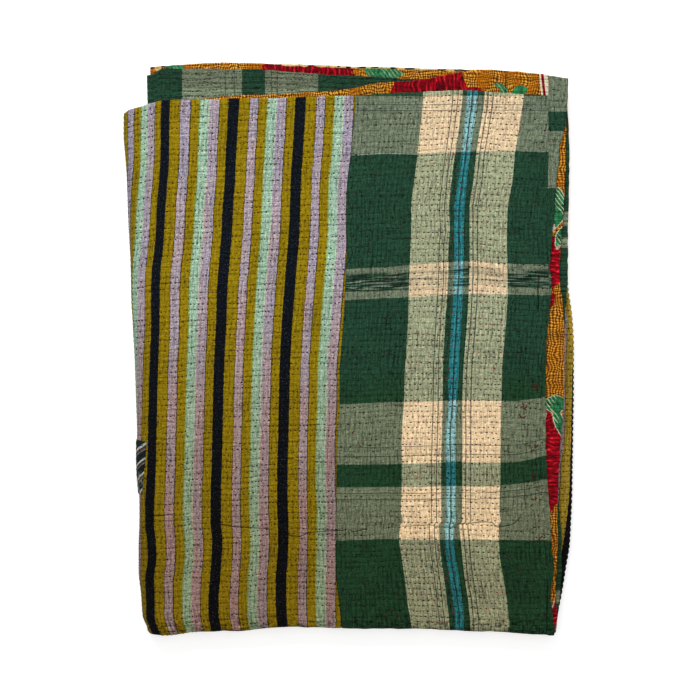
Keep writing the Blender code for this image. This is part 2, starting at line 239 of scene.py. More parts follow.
HEM_LINES = np.array((0.0, 0.15, 0.45, 0.9, 1.5)) * MM     # grid lines beside a rounded hem
SEAM_LINES = np.array((0.0, 0.6, 1.2)) * MM                # and beside a seam
CREASE_REACH = 5.0       # how far from a crease its side is still worked out, in millimetres

WHOLE_END = (-1.0, 1.0)
PANEL_END = (-1.0, 0.2495)    # the top edge left of the step up to the side strip
STRIP_END = (0.2532, 1.0)     # and right of it
STRIPE_REPEAT = 0.085
FEATHER_REPEAT = 0.0214  # from one pale stripe of the patch to the next, down the cloth
WARP_START = 0.30        # place in the weave where the plaid's warp colours start
WARP_SCALE = 5.0         # and one over the width that they are spread over
CREAM_WEFTS = (
    (0.0, 0.0932), (0.1197, 0.1953), (0.3389, 0.3780), (0.5090, 0.5846), (0.6136, 0.6804))
PALE_WARPS = ((0.3210, 0.3763), (0.3963, 0.4454))
WEFT_LINES = (0.0786, 0.0869, 0.1310, 0.1386, 0.5635, 0.5749, 0.6214, 0.6290)
WARP_LINES = (0.3583, 0.3646, 0.4013, 0.4076)
BLACK_HALF = 0.0066      # half the width of a black stripe
HEM_ROUND = 0.0015
HEM_WAVER = 0.0006       # how far a hem wavers in and out
HEM_REACH = 0.012        # and how far that reaches into the cloth
SEAM_DIP = 0.0012
SEAM_GAP = 0.0001
STRIP_GAP = 0.00002      # the side strip is sewn on flat
PLAID_PITCH = 0.0069     # from stitch to stitch on the plaid
STRIPE_PITCH = 0.0058    # and on the stripes
PLAID_ACROSS = 0.262     # how far across the plaid reaches, on average
STRIP_WIDTH = 0.024      # of the side strip where it is widest
NEARBY = 0.0002          # a small step on the cloth, for finding which way it faces
PATCH_START = 0.4335     # how far down the cloth the patch starts
PATCH_LENGTH = 0.0725
PATCH_END = LEFT_FOLD + 0.011     # it reaches this far round the fold
PATCH_SKEW = 0.0042      # its top edge slants by this much
PATCH_GAP = 0.0003       # over the cloth
PATCH_THICK = 0.0011
PATCH_RAGGED = 0.00012
PATCH_EDGE = ((0.0, 0.35, 0.6, 0.9, 1.0), (0.0020, 0.0030, 0.0054, 0.0084, 0.0104))
UNDER_FOLD = 0.017       # how far the top pieces go on past the lower fold
WHITE = (1.0, 1.0, 1.0, 1.0)
FLOOR_REACH = 12.0
FLOOR_GAP = 0.0002       # the floor lies this far under the quilt
FLOOR_GLOW = 0.55
SKY_GLOW = 0.42
LAMPS = (("window", 42.0, 1.2, (-0.45, 1.75, 1.60)), ("sky", 30.0, 3.2, (0.6, -0.2, 3.6)))
CAMERA_HEIGHT = 5.0
FOCUS_HEIGHT = 0.0275    # the height at which the view is exactly as wide as below
VIEW_WIDTH = 0.882
SENSOR_WIDTH = 36.0      # millimetres
CAMERA_X = 0.0020
CAMERA_Y = -0.00076

THREAD_POINTS = 10       # of one thread's mesh
THREAD_HALF_HEIGHT = 0.00034
THREAD_LIFT = 0.00005    # how far a stitch stands off the cloth
LOOSE_LIFT = 0.0003      # and a loose end
LOOSE_HALF_WIDTH = 0.00065
STITCH_WAVER = 0.00025   # how far a stitch strays from its row
STITCH_TILT = 0.12       # and turns out of it, across over along
FIRST_STITCH = 0.0030    # from the hem at the side
FIRST_ROW = 0.0025       # from the hem at the top
PAST_FOLD = 0.004        # the last stitches lie this far round the folds
AHEAD = 0.0005           # a step along a row, for finding which way a stitch runs
OLIVE_THREAD = (4.0, 8.0, 1.0)    # how many times lighter the brown thread is over olive

# Loose ends of red thread on the plaid, in millimetres: X, Y, length, turn in degrees
LOOSE_THREADS = (
    (233, -46, 7, 40), (236, -48, 7, -50), (235, -51, 6, 10), (238, -45, 5, 80),
    (219, -72, 6, 15), (222, -75, 7, -30), (224, -72, 5, 60), (220, -69, 4, -70),
    (216, -83, 6, -60), (219, -86, 7, -15), (222, -85, 5, 40), (224, -119, 4, 20),
    (232, -127, 6, 35), (237, -122, 7, 48), (232, -158, 6, 95), (233, -163, 6, 80),
    (225, -171, 4, 10), (237, -177, 4, -20), (232, -189, 6, -15), (236, -188, 5, 25),
    (231, -196, 4, 30), (239, -209, 4, 85), (240, -216, 4, 80), (240, -224, 4, 95),
    (243, -236, 6, 35), (246, -233, 5, -40), (241, -239, 5, 75), (111, -154, 5, 80),
    (5, -105, 4, 70), (55, -219, 5, 0), (235, 186, 7, 0), (228, -121, 4, -30),
)

# Motifs of the print, in millimetres: colour, X, Y, half length, half width, turn in degrees
BACK_MOTIFS = (
    ("crimson", 102, 325, 49, 75, 0),
    ("crimson", 158, 327, 14, 3, 0),
    ("green", 190, 333, 8, 3, -12),
    ("green", 196, 327, 9, 5, -60),
    ("green", 216, 326, 11, 7, 12),
    ("green", 262, 178, 27, 13, 84),
    ("green", 266, 140, 15, 5, 78),
    ("cream", 257, 152, 7, 3, 62),
    ("crimson", 256, 111, 37, 12, 92),
    ("cream", 264, 129, 5, 1, 8),
    ("crimson", 257, 63, 10, 3, 80),
    ("green", 261, -69, 12, 16, 90),
    ("green", 265, -90, 24, 6, 106),
    ("cream", 249, -83, 7, 1, 76),
    ("crimson", 256, -143, 61, 22, 90),
    ("cream", 258, -322, 7, 1, 70),
    ("crimson", 258, -338, 24, 6, 80),
)
SELVAGE_BARS = (("cream", 242.0, 252.6), ("crimson", 244.4, 247.8))
LOWER_MOTIFS = (
    ("black", -249, 357, 4, 3, 20),
    ("cream", -240, 356, 6, 4, 40),
    ("black", -233, 358, 4, 2, 0),
    ("green", -221, 354, 15, 6, 10),
    ("crimson", -47, 353, 58, 16, -3),
    ("green", 30, 351, 11, 7, -20),
    ("green", 46, 348, 25, 8, 0),
    ("green", 141, 349, 6, 2, -12),
)

# Pale weft showing down the turned panel's right hem, in millimetres along Y: ends
PALE_WEFTS = ((155.5, 173.5), (128.5, 141.5), (-321.5, -303.5))


def curve(rows, columns, name, place):
    """Read one named column at each place, in metres.

    The column is a run of cubic curves through its rows. Its slope at a row is the
    harmonic mean of the slopes on the two sides, or level where they disagree, so the
    curve never swings past a row.
    """
    table = np.array(sorted(rows), dtype=float) * MM
    stations = table[:, 0]
    values = table[:, columns.index(name)]
    spans = np.diff(stations)
    rises = np.diff(values) / spans
    agree = rises[:-1] * rises[1:]
    total = np.where(agree > 0.0, rises[:-1] + rises[1:], 1.0)
    slopes = np.zeros_like(values)
    slopes[1:-1] = np.where(agree > 0.0, 2.0 * agree / total, 0.0)
    row = np.clip(np.searchsorted(stations, place) - 1, 0, len(spans) - 1)
    share = np.clip((place - stations[row]) / spans[row], 0.0, 1.0)
    ease = share * share * (3.0 - 2.0 * share)
    start = share * (1.0 - share) ** 2 * spans[row] * slopes[row]
    end = share ** 2 * (share - 1.0) * spans[row] * slopes[row + 1]
    return values[row] * (1.0 - ease) + values[row + 1] * ease + start + end


def fold_back(run, radius):
    """Bend a flat run of cloth back under itself, keeping its length.

    Past a quarter turn either side of the fold line the cloth is flat; between, its
    distance from the axis is minus the radius times the cosine of run over radius, and
    its height is the radius times the sine.
    """
    quarter = 0.5 * math.pi * radius
    angle = np.clip(run / radius, -0.5 * math.pi, 0.5 * math.pi)
    beyond = np.maximum(np.abs(run) - quarter, 0.0)
    return beyond - radius * np.cos(angle), radius * np.sin(angle), np.sin(angle)


def by_layer(shares, values):
    """Blend the eight layers' values by how far a point has turned round each fold."""
    near, second, third = (0.5 + 0.5 * share for share in shares)
    far = 1.0 - near
    upper = (second * (near * values[0] + far * values[1])
             + (1.0 - second) * (far * values[2] + near * values[3]))
    lower = (second * (near * values[7] + far * values[6])
             + (1.0 - second) * (near * values[4] + far * values[5]))
    return third * upper + (1.0 - third) * lower


def noise(x, y, size, seed):
    """Smooth value noise from -1 to 1: random heights on a square lattice, eased between."""
    lattice = np.random.default_rng(seed).uniform(-1.0, 1.0, (256, 256))
    column = np.floor(x / size).astype(int)
    row = np.floor(y / size).astype(int)
    share_x = x / size - column
    share_y = y / size - row
    ease_x = share_x * share_x * (3.0 - 2.0 * share_x)
    ease_y = share_y * share_y * (3.0 - 2.0 * share_y)
    corner = lattice[column % 256, row % 256]
    right = lattice[(column + 1) % 256, row % 256]
    above = lattice[column % 256, (row + 1) % 256]
    across = lattice[(column + 1) % 256, (row + 1) % 256]
    low = corner * (1.0 - ease_x) + right * ease_x
    high = above * (1.0 - ease_x) + across * ease_x
    return low * (1.0 - ease_y) + high * ease_y


def swell(x, y):
    """Extra plumpness of the stack: most at the folds on the left and at the bottom."""
    from_left = np.clip((x - STACK_LEFT) / SWELL_REACH, 0.0, 1.0)
    from_bottom = np.clip((y - STACK_BOTTOM) / SWELL_REACH, 0.0, 1.0)
    left = 0.5 + 0.5 * np.cos(math.pi * from_left)
    bottom = 0.5 + 0.5 * np.cos(math.pi * from_bottom)
    broad = 0.25 + 0.25 * np.sin(WAVE_X * x + 1.0) * np.cos(WAVE_Y * y + 0.4)
    return SWELL_RISE * np.maximum(np.maximum(left, bottom), broad)


def crease_lines(x, y):
    """How far each point lies to one side of the nearest crease, and how deep that is.

    Both are in millimetres. The depth fades over two millimetres past a crease's ends
    and over the last two within reach of it.
    """
    nearest = np.full_like(x, 2.0 * CREASE_REACH)
    side_of = np.full_like(x, CREASE_REACH)
    depth = np.zeros_like(x)
    for deep, corners in CREASES:
        for start, end in zip(corners[:-1], corners[1:]):
            length = math.hypot(end[0] - start[0], end[1] - start[1])
            way = ((end[0] - start[0]) / length, (end[1] - start[1]) / length)
            over = x / MM - start[0]
            up = y / MM - start[1]
            run = over * way[0] + up * way[1]
            side = over * way[1] - up * way[0]
            first = start is corners[0]
            last = end is corners[-1]
            past = np.maximum(np.maximum(-run, run - length), 0.0)
            beyond = np.where(run < 0.0, past * first, past * last)
            away = np.hypot(side, past)
            nearer = away < nearest
            nearest = np.where(nearer, away, nearest)
            side_of = np.where(nearer, side, side_of)
            depth = np.where(nearer, deep * np.clip(1.0 - 0.5 * beyond, 0.0, 1.0), depth)
    side_of = np.clip(side_of, -CREASE_REACH, CREASE_REACH)
    return side_of, depth * np.clip(0.5 * (CREASE_REACH - nearest), 0.0, 1.0)


def creases(x, y):
    """Depth of the troughs along the main creases: a bell curve across each line."""
    side, depth = crease_lines(x, y)
    return 0.6 * depth * MM * np.exp(-(side / 1.6) ** 2)


class Folded:
    """Points of the flat cloth carried onto the stack's middle surface.

    The three folds are made in turn, each with its own radius for every layer inside
    it, and then the layers are fitted to the uneven edges in the tables. ends is the
    range of X from which the top edge is read, for the pieces beside its step.
    """

    def __init__(self, across, along, ends=WHOLE_END):
        half = 0.5 * LAYER_PITCH
        self.across = across
        self.along = along
        reach_1, height_1, share_1 = fold_back(RIGHT_FOLD - across, np.full_like(across, half))
        radius_2 = height_1 + LAYER_PITCH
        reach_2, height_2, share_2 = fold_back(ROW_LENGTH - along, radius_2)
        self.radius = height_2 + 2.0 * LAYER_PITCH
        reach_3, height_3, share_3 = fold_back(reach_1 - COLUMN_WIDTH, self.radius)
        self.shares = (share_1, share_2, share_3)
        quarter = 0.5 * math.pi * self.radius
        upper = 0.5 + 0.5 * share_3
        self.full_reach = (upper * (COLUMN_WIDTH - SINGLE - quarter)
                           + (1.0 - upper) * (COLUMN_WIDTH + half - quarter))
        full_length = ROW_LENGTH - 0.5 * math.pi * radius_2
        self.rough_y = STACK_BOTTOM + reach_2 * STACK_LENGTH / full_length
        self.left_axis, self.right = self.sides(self.rough_y)
        inside = np.maximum(reach_3, 0.0)
        stretch = (self.right - self.left_axis) / self.full_reach
        self.x = self.left_axis + reach_3 + inside * (stretch - 1.0)
        rest = reach_1 - COLUMN_WIDTH - quarter
        self.flat_x = self.left_axis + np.where(rest > 0.0, rest * stretch, rest)
        end_x = np.clip(self.x, ends[0], ends[1])
        tops = [curve(END_EDGES, END_COLUMNS, row[2], end_x) for row in LAYERS]
        top = by_layer(self.shares, tops)
        uneven = 0.0006 * noise(self.x, 0.0 * self.x, 0.0105, SEED + 19)
        bottom = curve(END_EDGES, END_COLUMNS, "bottom", self.x) + 0.5 * CLOTH_THICK + uneven
        axis = bottom + 1.5 * LAYER_PITCH
        inside = np.maximum(reach_2, 0.0)
        self.y = axis + reach_2 + inside * ((top - axis) / full_length - 1.0)
        level = (height_3 + OUTER_RADIUS) / (2.0 * OUTER_RADIUS)
        self.z = 0.5 * CLOTH_THICK + height_3 + OUTER_RADIUS + level * swell(self.x, self.y)

    def sides(self, y):
        """X of the left fold's axis and of the right edge, for each point's layer."""
        lefts = [curve(SIDE_EDGES, SIDE_COLUMNS, row[0], y) for row in LAYERS]
        rights = [curve(SIDE_EDGES, SIDE_COLUMNS, row[1], y) for row in LAYERS]
        left = by_layer(self.shares, lefts) + 0.5 * CLOTH_THICK
        return left + self.radius, by_layer(self.shares, rights)

    def on_top(self):
        """One on the top layer, fading to nothing round its folds and under them."""
        least = np.minimum(np.minimum(self.shares[0], self.shares[1]), self.shares[2])
        return np.clip(least, 0.0, 1.0) ** 2


def place_of_line(name, along, ends=PANEL_END):
    """Distance across the cloth at which a named woven line of the top layer runs.

    The line's X comes from its table, and the fit of the top layer to its two edges is
    undone: what is left of the reach from the fold's axis, and a quarter turn, come off
    the fold line.
    """
    across = np.full_like(along, 0.5 * COLUMN_WIDTH)
    for _ in range(3):
        guess = Folded(across, along, ends)
        x = curve(WOVEN_LINES, LINE_COLUMNS, name, guess.y)
        stretch = (guess.right - guess.left_axis) / guess.full_reach
        across = LEFT_FOLD - (x - guess.left_axis) / stretch - 0.5 * math.pi * guess.radius
    return across


def woven_place(flat_x, y):
    """Place across the weave, in metres right of the first black line.

    Between two lines of the table it changes evenly. To their right it keeps the
    cloth's own scale, and to their left the stripes are drawn in and lie closer.
    """
    names = [name for name in LINE_COLUMNS[1:-1] if name != "seam_place"]
    lines = [curve(WOVEN_LINES, LINE_COLUMNS, name, y) for name in names]
    places = [value * MM for value in BEFORE_SEAM]
    places.append(curve(WOVEN_LINES, LINE_COLUMNS, "seam_place", y))
    places.extend(value * MM for value in AFTER_SEAM)
    away = flat_x - lines[0]
    past = np.maximum(-BLACK_HALF - away, 0.0)
    result = places[0] + away - 0.41 * past
    for index in range(len(lines) - 1):
        share = (flat_x - lines[index]) / (lines[index + 1] - lines[index])
        between = places[index] + share * (places[index + 1] - places[index])
        result = np.where(flat_x > lines[index], between, result)
    result = np.where(flat_x > lines[-1], places[-1] + (flat_x - lines[-1]), result)
    drawn = np.interp(away, (-0.008, 0.008, 0.020, 0.032), (-0.008, 0.008, 0.008, 0.0))
    return result + 0.22 * drawn


def weft_place(x, y):
    """Place down the weave, in metres below the top of the view.

    It falls evenly with Y, apart from the rises in the table, which change evenly from
    one place along X to the next, and a pull towards the side strip.
    """
    places = WEFT_COLUMNS[1:]
    rises = [curve(WEFT_RISE, WEFT_COLUMNS, place, y) for place in places]
    rise = rises[0]
    for index in range(len(places) - 1):
        share = np.clip((x / MM - places[index]) / (places[index + 1] - places[index]), 0.0, 1.0)
        rise = rise + share * (rises[index + 1] - rises[index])
    pulled = np.clip((x - 0.205) / 0.040, 0.0, 1.0) ** 2 * np.exp(-((y + 0.120) / 0.070) ** 2)
    return 0.440 - y + rise + 0.0055 * pulled


def steps(start, end, size):
    """Evenly spaced lines from start to end, about size apart."""
    count = max(1, int(round((end - start) / size)))
    return np.linspace(start, end, count + 1)


def join_lines(*runs):
    """One rising run of grid lines from several, without doubles."""
    lines = np.concatenate(runs)
    return lines[np.concatenate(([True], np.diff(lines) > 1e-7))]


def row_phase(across, along):
    """How many rows of quilting down the cloth a point lies; stitches run at the halves.

    It is the distance down over the pitch, with a slight tilt and a slow wander.
    """
    wander = 0.30 * noise(across, along, 0.085, SEED)
    wander = wander + 0.20 * noise(across, along, 0.034, SEED + 1)
    return (along - 0.010 * across) / QUILT_PITCH + wander


def row_along(across, row):
    """Distance down the cloth of a row of stitches: the phase above, turned round."""
    along = (row + 0.5) * QUILT_PITCH + 0.010 * across
    for _ in range(8):
        along = along - 0.8 * (row_phase(across, along) - row - 0.5) * QUILT_PITCH
    return along


def stitch_place(across, row):
    """How many stitches along its row a point lies: distance over pitch, uneven by hand."""
    start = np.random.default_rng(SEED + 2).uniform(0.0, 1.0, 600)
    uneven = 0.8 * noise(across + 1.7 * row, 0.0 * across, 0.023, SEED + 3)
    on_plaid = np.minimum(across, PLAID_ACROSS) / PLAID_PITCH
    on_stripes = np.maximum(across - PLAID_ACROSS, 0.0) / STRIPE_PITCH
    return on_plaid + on_stripes + start[np.clip(row, 0, 599)] + uneven


def unit(vectors):
    """The vectors made one long."""
    return vectors / np.linalg.norm(vectors, axis=-1)[..., None]


def facing(across, along, ends):
    """Points of the folded cloth and the direction in which its patchwork side faces.

    The direction is the cross product of a small step across with a small step along.
    """
    here = Folded(across, along, ends)
    over = Folded(across + NEARBY, along, ends)
    down = Folded(across, along + NEARBY, ends)
    place = np.stack((here.x, here.y, here.z), axis=-1)
    step_over = np.stack((over.x, over.y, over.z), axis=-1) - place
    step_down = np.stack((down.x, down.y, down.z), axis=-1) - place
    return here, place, unit(np.cross(step_over, step_down))


def puff(across, along, rise):
    """How far the quilting lifts the cloth: the rise times the cosine of the row's phase."""
    uneven = 0.75 + 0.25 * noise(across, along, 0.019, SEED + 4)
    return rise * uneven * np.cos(2.0 * math.pi * row_phase(across, along))


def top_surface(across, along, ends, settings):
    """The patchwork side of the top layer: its points and the directions that it faces."""
    here, place, normal = facing(across, along, ends)
    lift = 0.5 * CLOTH_THICK + puff(across, along, settings.row_rise)
    lift = lift - creases(here.x, here.y) * here.on_top()
    return place + lift[..., None] * normal, normal


def edge_depths(across, along):
    """How far each point of a grid lies from each of the four sides."""
    return {
        "first_across": np.abs(across - across[:, :1]),
        "last_across": np.abs(across[:, -1:] - across),
        "first_along": np.abs(along - along[:1, :]),
        "last_along": np.abs(along[-1:, :] - along),
    }


def edge_thickness(across, along, hems, seams):
    """Share of full thickness near the edges: a quarter circle at a hem, a dip at a seam.

    hems and seams name the sides, first and last across and first and last along.
    """
    depth = edge_depths(across, along)
    share = np.ones_like(across)
    for side in hems:
        near = np.clip(depth[side] / HEM_ROUND, 0.0, 1.0)
        share = np.minimum(share, 0.12 + 0.88 * np.sqrt(near * (2.0 - near)))
    for side in seams:
        near = np.clip(depth[side] / SEAM_DIP, 0.0, 1.0)
        share = np.minimum(share, 0.62 + 0.38 * np.sqrt(near * (2.0 - near)))
    return share


def uneven_hems(across, along, hems):
    """Draw the hems in and out a little: noise along each, dying away into the cloth."""
    shifts = {"across": np.zeros_like(across), "along": np.zeros_like(along)}
    for number, (side, depth) in enumerate(edge_depths(across, along).items()):
        if side in hems:
            run, size = (along, 0.0075) if side.endswith("across") else (across, 0.0080)
            waver = noise(run, 0.0 * run, size, SEED + 13 + number)
            shifts[side.split("_")[1]] += np.exp(-depth / HEM_REACH) * HEM_WAVER * waver
    return across + shifts["across"], along + shifts["along"]


def closed_sheet(name, outer, inner):
    """A closed thin mesh from two matching grids of points, one for each side.

    Grid columns run across and rows run down the cloth, so outer faces wind across
    first; inner faces wind the other way and four strips close the edges.
    """
    rows, columns = outer.shape[:2]
    index = np.arange(rows * columns).reshape(rows, columns)
    upper = np.stack((index[:-1, :-1], index[:-1, 1:], index[1:, 1:], index[1:, :-1]), axis=-1)
    lower = upper[..., ::-1] + rows * columns
    loop = np.concatenate((index[0, :], index[1:, -1], index[-1, -2::-1], index[-2:0:-1, 0]))
    after = np.roll(loop, -1)
    rim = np.stack((after, loop, loop + rows * columns, after + rows * columns), axis=-1)
    faces = np.concatenate((upper.reshape(-1, 4), lower.reshape(-1, 4), rim))
    points = np.concatenate((outer.reshape(-1, 3), inner.reshape(-1, 3)))
    mesh = smooth_mesh(name, points, faces)
    mesh.validate()
    slots = np.zeros(len(faces), dtype=np.int32)
    slots[(rows - 1) * (columns - 1):2 * (rows - 1) * (columns - 1)] = 1
    mesh.polygons.foreach_set("material_index", slots)
    return mesh


def smooth_mesh(name, points, faces):
    """A smooth mesh from points and from faces that all have as many corners."""
    mesh = bpy.data.meshes.new(name)
    mesh.vertices.add(len(points))
    mesh.vertices.foreach_set("co", points.astype(np.float32).ravel())
    mesh.loops.add(faces.size)
    mesh.loops.foreach_set("vertex_index", faces.astype(np.int32).ravel())
    mesh.polygons.add(len(faces))
    starts = np.arange(0, faces.size, faces.shape[1], dtype=np.int32)
    mesh.polygons.foreach_set("loop_start", starts)
    mesh.polygons.foreach_set("use_smooth", np.ones(len(faces), dtype=bool))
    mesh.update(calc_edges=True)
    return mesh


def set_vectors(mesh, name, *parts):
    """Give the mesh's points a vector each; the two sides of a sheet share theirs."""
    values = np.stack([np.asarray(part, dtype=float).ravel() for part in parts], axis=-1)
    repeats = len(mesh.vertices) // len(values)
    values = np.tile(values, (repeats, 1)).astype(np.float32)
    attribute = mesh.attributes.new(name, "FLOAT_VECTOR", "POINT")
    attribute.data.foreach_set("vector", values.ravel())


def new_piece(name, mesh, materials):
    """Put a mesh into the scene as a piece that rides on the quilt's one body."""
    for material in materials:
        mesh.materials.append(material)
    piece = bpy.data.objects.new(name, mesh)
    bpy.context.scene.collection.objects.link(piece)
    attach(piece, ROOT)
    return piece


def shared_material(recipe, settings):
    """A material made once, under its recipe's name, and used by every piece that needs it."""
    return bpy.data.materials.get(recipe.__name__.replace("_", " ")) or recipe(settings)


def declare_cloth(node):
    """Hide the solid of model.glb that a piece stands for."""
    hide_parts(node)


def cloth_piece(name, across, along, front, settings, size, rests_on, weave, area=None,
                **options):
    """One flat piece of the quilt, folded, puffed and closed round its edges.

    across and along are grids of the same shape, front is its patchwork side's cloth,
    size its width and length before folding, which is not used, and weave the function
    that places its pattern. Options: ends for the top edge, hems and seams for the sides,
    rise and fold_rise for the quilting, motifs and marks for the print, top_layer for a
    piece that the creases cross, and sewn, which is nought where the stitches are threads.
    """
    hems = options.get("hems", ())
    share = edge_thickness(across, along, hems, options.get("seams", ()))
    across, along = uneven_hems(across, along, hems)
    here, place, normal = facing(across, along, options.get("ends", WHOLE_END))
    rise = options.get("rise", 0.0)
    quilting = puff(across, along, rise) * np.clip(2.0 * share - 1.0, 0.0, 1.0)
    half = 0.5 * CLOTH_THICK * share
    inner = half + quilting
    outer = half + quilting
    crease_side, crease_depth = crease_lines(here.x, here.y)
    if options.get("top_layer"):
        outer = outer - creases(here.x, here.y) * here.on_top()
    else:
        crease_depth = 0.0 * crease_depth
    if "fold_rise" in options:
        near_fold = 1.0 - np.abs(here.shares[0]) ** 4
        beads = 2.0 * np.abs(np.cos(math.pi * row_phase(across, along))) ** 0.7 - 1.2
        outer = outer + near_fold * options["fold_rise"] * beads
    mesh = closed_sheet(name, place + outer[..., None] * normal, place - inner[..., None] * normal)
    phase = row_phase(across, along)
    row = np.floor(phase).astype(int)
    crimson, green, cream, black = print_fields(here.x, here.y, options.get("motifs", ()))
    if "marks" in options:
        thread, mark = options["marks"](here, along)
        cream = np.maximum(cream, thread)
        black = np.maximum(black, mark)
    sewn = np.full_like(across, options.get("sewn", 1.0))
    set_vectors(mesh, "weave", *weave(here), phase)
    set_vectors(mesh, "sewing", stitch_place(across, row), sewn, black)
    set_vectors(mesh, "motif", crimson, green, cream)
    set_vectors(mesh, "crease", crease_side, crease_depth * here.on_top(), phase)
    cloths = [shared_material(recipe, settings) for recipe in (front, printed_cotton)]
    piece = new_piece(name, mesh, cloths)
    declare_cloth("quilt")


def print_fields(x, y, motifs):
    """How far inside each printed colour a point lies, in millimetres.

    A flower is an ellipse whose radius waves round it with five petals, and a leaf is
    where two curves cross. Cloth without listed motifs has patches of noise instead.
    """
    colours = ("crimson", "green", "cream", "black")
    fields = {colour: np.full_like(x, OUTSIDE) for colour in colours}
    for colour, centre_x, centre_y, long, wide, turn in motifs:
        angle = math.radians(turn)
        over = x / MM - centre_x
        up = y / MM - centre_y
        run = (over * math.cos(angle) + up * math.sin(angle)) / long
        side = (up * math.cos(angle) - over * math.sin(angle)) / wide
        radius = np.hypot(run, side)
        around = np.arctan2(side, run)
        if colour == "crimson":
            inside = (1.0 + 0.10 * np.cos(5.0 * around + centre_x) - radius) * wide
        elif colour == "black":
            inside = (1.0 - radius) * wide
        else:
            inside = (1.0 - np.abs(side) - run * run) * wide * 0.8
        fields[colour] = np.maximum(fields[colour], inside)
    for colour, low, high in SELVAGE_BARS:
        centre = 0.5 * (low + high) - 0.11 * (y / MM - 330.0)
        inside = 0.5 * (high - low) - np.abs(x / MM - centre)
        reach = 1.0 if motifs is BACK_MOTIFS else -1.0
        inside = np.minimum(inside, reach * (y / MM - 300.0))
        fields[colour] = np.maximum(fields[colour], inside)
        other = "cream" if colour == "crimson" else "green"
        fields[other] = np.minimum(fields[other], -inside)
    if not motifs:
        fields["crimson"] = 14.0 * noise(x, y, 0.046, SEED + 8) - 3.0
        fields["green"] = 11.0 * noise(x, y, 0.031, SEED + 9) - 4.0
    return [fields[colour] for colour in colours]


def linear(colour):
    """A screen colour, from 0 to 1, as the light it stands for."""
    values = np.asarray(colour[:3], dtype=float)
    low = values / 12.92
    high = ((values + 0.055) / 1.055) ** 2.4
    return tuple(np.where(values <= 0.04045, low, high)) + (1.0,)


def shade(colour, factor):
    """A screen colour made darker or lighter."""
    return tuple(min(1.0, value * factor) for value in colour[:3])


class Value:
    """What a material's node gives out; it adds, takes away and multiplies as numbers do."""

    def __init__(self, recipe, socket):
        self.recipe = recipe
        self.socket = socket

    def __add__(self, other):
        return self.recipe.math("ADD", self, other)

    def __radd__(self, other):
        return self.recipe.math("ADD", other, self)

    def __sub__(self, other):
        return self.recipe.math("SUBTRACT", self, other)

    def __rsub__(self, other):
        return self.recipe.math("SUBTRACT", other, self)

    def __mul__(self, other):
        return self.recipe.math("MULTIPLY", self, other)

    def __abs__(self):
        return self.recipe.math("ABSOLUTE", self)


